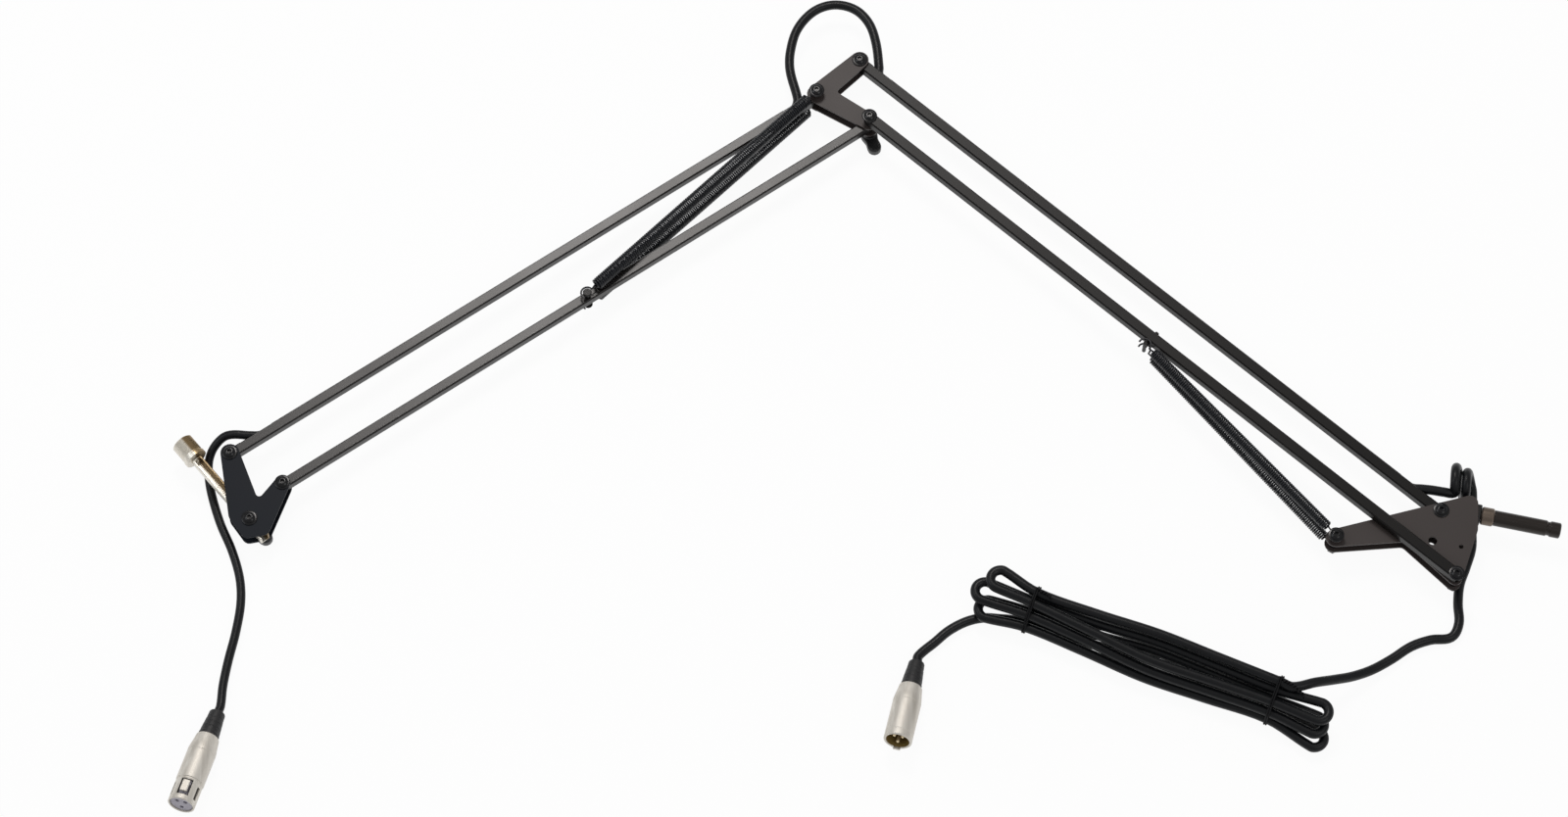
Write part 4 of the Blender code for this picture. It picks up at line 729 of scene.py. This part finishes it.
def extension_spring(name, node, start, end, outer, bends):
    """A close-wound spring from ring to ring, drawn in stretches."""
    first, last = Vector(start), Vector(end)
    axis = (last - first).normalized()
    line = spring_line(first, last, outer)
    shares = [(point - first).dot(axis) / (last - first).length for point in line]
    cut = 0
    for number, (share, fixed, free) in enumerate(bends):
        ends = [i for i, there in enumerate(shares) if there > share and i > len(RING_ANGLES)]
        stop = ends[0] if share < 1 else len(line) - 1
        stretch = [point * MM for point in line[cut:stop + 1]]
        piece = drawn(f"{name}_{number}", stretch, SPRING_WIRE * MM, blued, 1)
        settled(piece, None, "spring_steel", node)
        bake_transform(piece)
        cut = stop


lower_anchor = along_arm(pivots["inner_tube_swing"], LOWER_HEADING, *LOWER_ANCHOR)
upper_anchor = along_arm(pivots["lower_bar_swing"], UPPER_HEADING, UPPER_ANCHOR)
elbow_left = pivots["upper_arm_swing"]
for label, height, reach in (("front", 27.5, 4.1), ("rear", 8.1, -4.1)):
    extension_spring(f"lower_{label}_coils", f"lower_spring_{label}", (*BASE_TIP, height),
                     (*lower_anchor.xy, lower_anchor.z + reach), LOWER_COIL,
                     LOWER_BENDS)
for label, height in (("front", 26.8), ("rear", 8.7)):
    extension_spring(f"upper_{label}_coils", f"upper_spring_{label}", (*elbow_left.xy, height),
                     (*upper_anchor.xy, height), UPPER_COIL, UPPER_BENDS)


# Mounting pin: a turned steel pin pressed into a block between the base plates, with a collar at its
# root coloured light bronze as a painted highlight, and a groove near its end for the set screw of a desk
# clamp.
oiled = Finish("oiled_steel", (0.022, 0.017, 0.014), 0.26, 0.4)
oiled.plug("Roughness", oiled.between(oiled.noise(160.0, 4.0, stretch=(0.3, 3, 3)), 0.2, 0.36))
# The collar's light bronze colour is a painted highlight.
collar_highlight = mottled("collar_painted_highlight", (0.16, 0.125, 0.10), 0.34, 300.0, 0.26, 0.45, metallic=0.8)


def aimed(start, direction):
    """The place of a turned piece that stands at a point along a direction."""
    return Matrix.Translation(start) @ Vector(direction).to_track_quat("Z", "Y").to_matrix().to_4x4()


PIN_ROOT = (426.0, -174.9)          # where the pin leaves the plates
PIN_TURN = math.radians(-12.2)
PIN = 5.5                           # radius
PIN_END = 55.5
pin_place = aimed((*PIN_ROOT, MIDDLE), (math.cos(PIN_TURN), math.sin(PIN_TURN), 0))
fitted("mounting_pin",
       lathe([(0, PIN_END), (PIN - 0.8, PIN_END), (PIN, PIN_END - 0.8), (PIN, PIN_END - 7.0),
              (PIN - 0.7, PIN_END - 7.7), (PIN - 0.7, PIN_END - 9.3), (PIN, PIN_END - 10.0),
              (PIN, 9.3), (2.9, 9.3), (2.9, -12.0), (0, -12.0)], 64, 0.12),
       oiled, "base", "black_steel", "base_pin", place=pin_place)
fitted("mounting_collar",
       lathe([(5.6, 9.0), (6.3, 8.2), (6.3, 1.1), (5.5, 0.3), (3.0, 0.3), (3.0, 9.0), (5.6, 9.0)],
             64, 0.12),
       collar_highlight, "base", "black_steel", "base_pin", place=pin_place)
finished_copy("base_pin_block", "pin_block_enamelled", enamel, "black_steel", 0.3)


# Microphone bracket: a folded channel of nickel-plated steel on the head's tilt bolt, with a
# 5/8 inch threaded stud riveted to its end for the microphone clip; one side carries a painted gold-brown
# reflection.
BRACKET_HEADING = math.radians(130.4)
REFLECTION_FROM, REFLECTION_TO = -0.0004, 0.0012      # metres across from the bracket's middle
STUD = 7.8                          # radius
STUD_PLACE = 61.3                   # of its flange, from the tilt bolt
STUD_TOP = 16.2                     # of its thread
THREAD = 0.94                       # pitch
THREAD_TURNS = 13
THREAD_DEPTH = 0.45
tilt_bolt = pivots["microphone_tilt"]
across = Vector((math.sin(BRACKET_HEADING), -math.cos(BRACKET_HEADING), 0))
bracket_middle = across.dot(tilt_bolt) * MM
# Nickel painted gold-brown on one side across the bracket, a painted reflection; the stud takes it too.
nickel_painted_side = Finish("nickel_painted_reflection", (0.8, 0.76, 0.68), 0.36, 0.7)
centred = nickel_painted_side.node("SeparateXYZ", {}, {0: nickel_painted_side.place(turn=(0, 0, math.pi / 2 - BRACKET_HEADING))})
painted_reflection_mask = nickel_painted_side.node("MapRange", {}, {"Value": centred, "From Min": bracket_middle + REFLECTION_FROM,
                                  "From Max": bracket_middle + REFLECTION_TO})
nickel_painted_side.plug("Base Color", nickel_painted_side.tint(painted_reflection_mask, (0.8, 0.76, 0.68), (0.33, 0.24, 0.13)))
nickel_painted_side.plug("Roughness", nickel_painted_side.between(nickel_painted_side.noise(260.0), 0.28, 0.44))
finished_copy("mic_bracket", "mic_bracket_plated", nickel_painted_side, "nickel", 0.3)
thread = []
for number in range(THREAD_TURNS):
    foot = STUD_TOP - number * THREAD
    thread += [(STUD, foot), (STUD - THREAD_DEPTH, foot - THREAD / 2)]
bracket_direction = Vector((math.cos(BRACKET_HEADING), math.sin(BRACKET_HEADING), 0))
stud_start = Vector((*tilt_bolt.xy, MIDDLE)) + bracket_direction * STUD_PLACE
fitted("mic_stud_threaded",
       lathe([(0, STUD_TOP), (4.6, STUD_TOP), (5.0, 16.6), (5.6, 17.0), (STUD - 1.0, 17.0), *thread,
              (STUD - 0.3, 3.2), (7.9, 3.0), (8.2, 2.7), (8.2, 0.3), (7.9, 0), (1.6, 0), (1.6, -2.5),
              (0, -2.5)], 64),
       nickel_painted_side, "mic_mount", "nickel", "mic_stud", place=aimed(stud_start, bracket_direction), smooth=25)


# Plugs: three-pole audio connectors with a turned, satin nickel shell, a moulded contact block
# and a tapering rubber boot over the cable.
rubber = mottled("boot_rubber", (0.009, 0.009, 0.010), 0.5, 300.0, 0.42, 0.58)
rubber.relief(rubber.noise(900.0, 2.0), 0.00004, 0.5)
brown = mottled("brown_block", (0.20, 0.135, 0.04), 0.42, 400.0, 0.36, 0.5)
gold = mottled("gold_contact", (0.95, 0.80, 0.52), 0.3, 900.0, 0.26, 0.38, metallic=0.8)
grey = mottled("grey_block", (0.42, 0.40, 0.46), 0.45, 400.0, 0.38, 0.52)
dark = mottled("slot_shadow", (0.012, 0.011, 0.012), 0.6, 400.0, 0.5, 0.7)
nickel = Finish("satin_nickel", (0.66, 0.62, 0.56), 0.52, 0.7)
streaks = nickel.noise(300.0, 2.0, stretch=(1, 0.02, 1), turn=(0, 0, math.radians(13)))
nickel.plug("Base Color", nickel.tint(streaks, (0.50, 0.46, 0.40), (0.88, 0.85, 0.79)))
nickel.plug("Roughness", nickel.between(streaks, 0.48, 0.58))
SHELL = 9.8                         # radius
CUP = 8.1                           # radius of the open cup in its front
CUP_DEPTH = 17.0
LINER = (7.86, 8.06)                # radii of the thin sleeve that shades the cup's wall
WINDOW_DEPTH = 6.0                  # that a cut reaches across a shell's wall
BOOT_LENGTH = 20.0
PIN_CIRCLE = 4.1
PIN_ANGLES = (45, 135, 270)
BOOT = [(0, 20.0), (7.2, 20.0), (7.2, 17.6), (6.9, 17.2), (6.85, 14.3), (6.45, 14.0), (6.45, 13.5),
        (6.7, 13.2), (6.45, 10.3), (6.05, 10.0), (6.05, 9.5), (6.3, 9.2), (6.05, 6.3), (5.65, 6.0),
        (5.65, 5.5), (5.85, 5.2), (5.6, 0.8), (5.2, 0.0), (0, 0)]
TAIL = [(SHELL, 14.6), (SHELL - 0.2, 14.4), (SHELL - 0.2, 14.0), (SHELL, 13.8), (SHELL, 12.0),
        (9.5, 9.5), (8.6, 4.2), (8.1, 0.5), (7.7, 0), (0, 0)]
# Of each shell: its length, and its nose as (radius, distance back from the rim).
SHELLS = {"male": (44.0, [(SHELL - 0.5, 0), (SHELL, 0.5), (SHELL, 4.6), (SHELL - 0.2, 4.8),
                          (SHELL - 0.2, 5.2), (SHELL, 5.4)]),
          "female": (55.0, [(9.0, 0), (9.4, 0.4), (9.4, 16.4), (9.15, 16.8), (9.15, 17.6),
                            (SHELL, 18.1)])}
in_male = male_plug @ Matrix.Translation((0, 0, BOOT_LENGTH + GAP))
in_female = female_plug @ Matrix.Translation((0, 0, BOOT_LENGTH + GAP))


def shell_profile(length, nose):
    """A shell's section from the floor of its cup over its rim and nose to its rear end."""
    floor = length - CUP_DEPTH
    return ([(0, floor), (CUP, floor), (CUP, length - 0.4), (CUP + 0.4, length)]
            + [(radius, length - back) for radius, back in nose] + TAIL)


shells = {}
for label, plug, in_shell, body in (("male", male_plug, in_male, "base"),
                                    ("female", female_plug, in_female, "head")):
    shells[label] = fitted(f"{label}_shell_turned", lathe(shell_profile(*SHELLS[label]), 64, 0.08),
                           nickel, body, "nickel", f"{label}_shell", place=in_shell)
    fitted(f"{label}_boot_ribbed", lathe(BOOT, 48, 0.15), rubber, body, "black_rubber",
           f"{label}_boot", place=plug)


def bar(sizes, place, width=0.2):
    """A small block with broken edges, in millimetres, set in a place."""
    made = bmesh.new()
    bmesh.ops.create_cube(made, size=1, matrix=Matrix.Diagonal((*sizes, 1)))
    if width:
        broken_edges(made, width)
    made.transform(place)
    return made


def windows(shell, in_shell, cuts):
    """Cut openings into a shell: each given by its angle from the top, width and two ends."""
    for angle, width, start, end in cuts:
        turned = in_shell @ Matrix.Rotation(math.radians(-angle), 4, "Z")
        middle = Matrix.Translation((0, SHELL, (start + end) / 2))
        made = bar((width, WINDOW_DEPTH, end - start), turned @ middle, 0)
        made.transform(Matrix.Diagonal((MM, MM, MM, 1)))
        data = bpy.data.meshes.new("window")
        made.to_mesh(data)
        made.free()
        tool = linked("window", data)
        cut = shell.modifiers.new("window", "BOOLEAN")
        cut.solver = "EXACT"
        cut.object = tool
        opened = as_mesh(shell)
        shell.modifiers.clear()
        shell.data = opened
        bpy.data.objects.remove(tool)
    shell.data.set_sharp_from_angle(angle=math.radians(40))


def liner(start, end):
    """A thin sleeve inside a cup, from one height to another."""
    inner, outer = LINER
    return lathe([(inner, start), (outer, start), (outer, end), (inner, end), (inner, start)], 64)


windows(shells["female"], in_female, [(0, 8.0, 39.0, 51.4), (-62, 2.6, 41.5, 51.4), (62, 2.6, 41.5, 51.4)])
windows(shells["male"], in_male, [(180, 5.4, 40.6, 45.0)])
sleeve = fitted("female_sleeve", liner(38.2, 52.2), dark, "head", "black_plastic", place=in_female)
windows(sleeve, in_female, [(0, 6.0, 39.6, 50.2)])
# The male cup's brown sleeve is painted shade and a painted brown reflection on the cup's nickel wall.
fitted("male_sleeve", liner(34.2, 43.4), brown, "base", "brown_plastic", place=in_male)
fitted("male_key", bar((5.0, 1.6, 3.8), in_male @ Matrix.Translation((0, 0.2 - SHELL, 42.8))), nickel,
       "base", "nickel")
fitted("male_block", lathe([(0, 34.0), (2.2, 34.0), (2.2, 33.6), (7.0, 33.6), (7.8, 34.0), (7.8, 27.3),
                            (0, 27.3)], 48, 0.12),
       brown, "base", "brown_plastic", "male_insert", place=in_male)
for number, angle in enumerate(PIN_ANGLES):
    spot = Matrix.Translation((PIN_CIRCLE * math.cos(math.radians(angle)),
                               PIN_CIRCLE * math.sin(math.radians(angle)), 0))
    fitted(f"male_contact_{number + 1}",
           lathe([(0, 42.5), (0.6, 42.3), (1.05, 41.9), (1.3, 41.2), (1.3, 27.4), (0, 27.4)], 24),
           gold, "base", "gold", f"male_pin_{number + 1}", place=in_male @ spot)
finished_copy("female_insert", "female_block", grey, "grey_plastic", 0.2)
finished_copy("female_latch", "female_latch_plated", nickel, "nickel", 0.35)
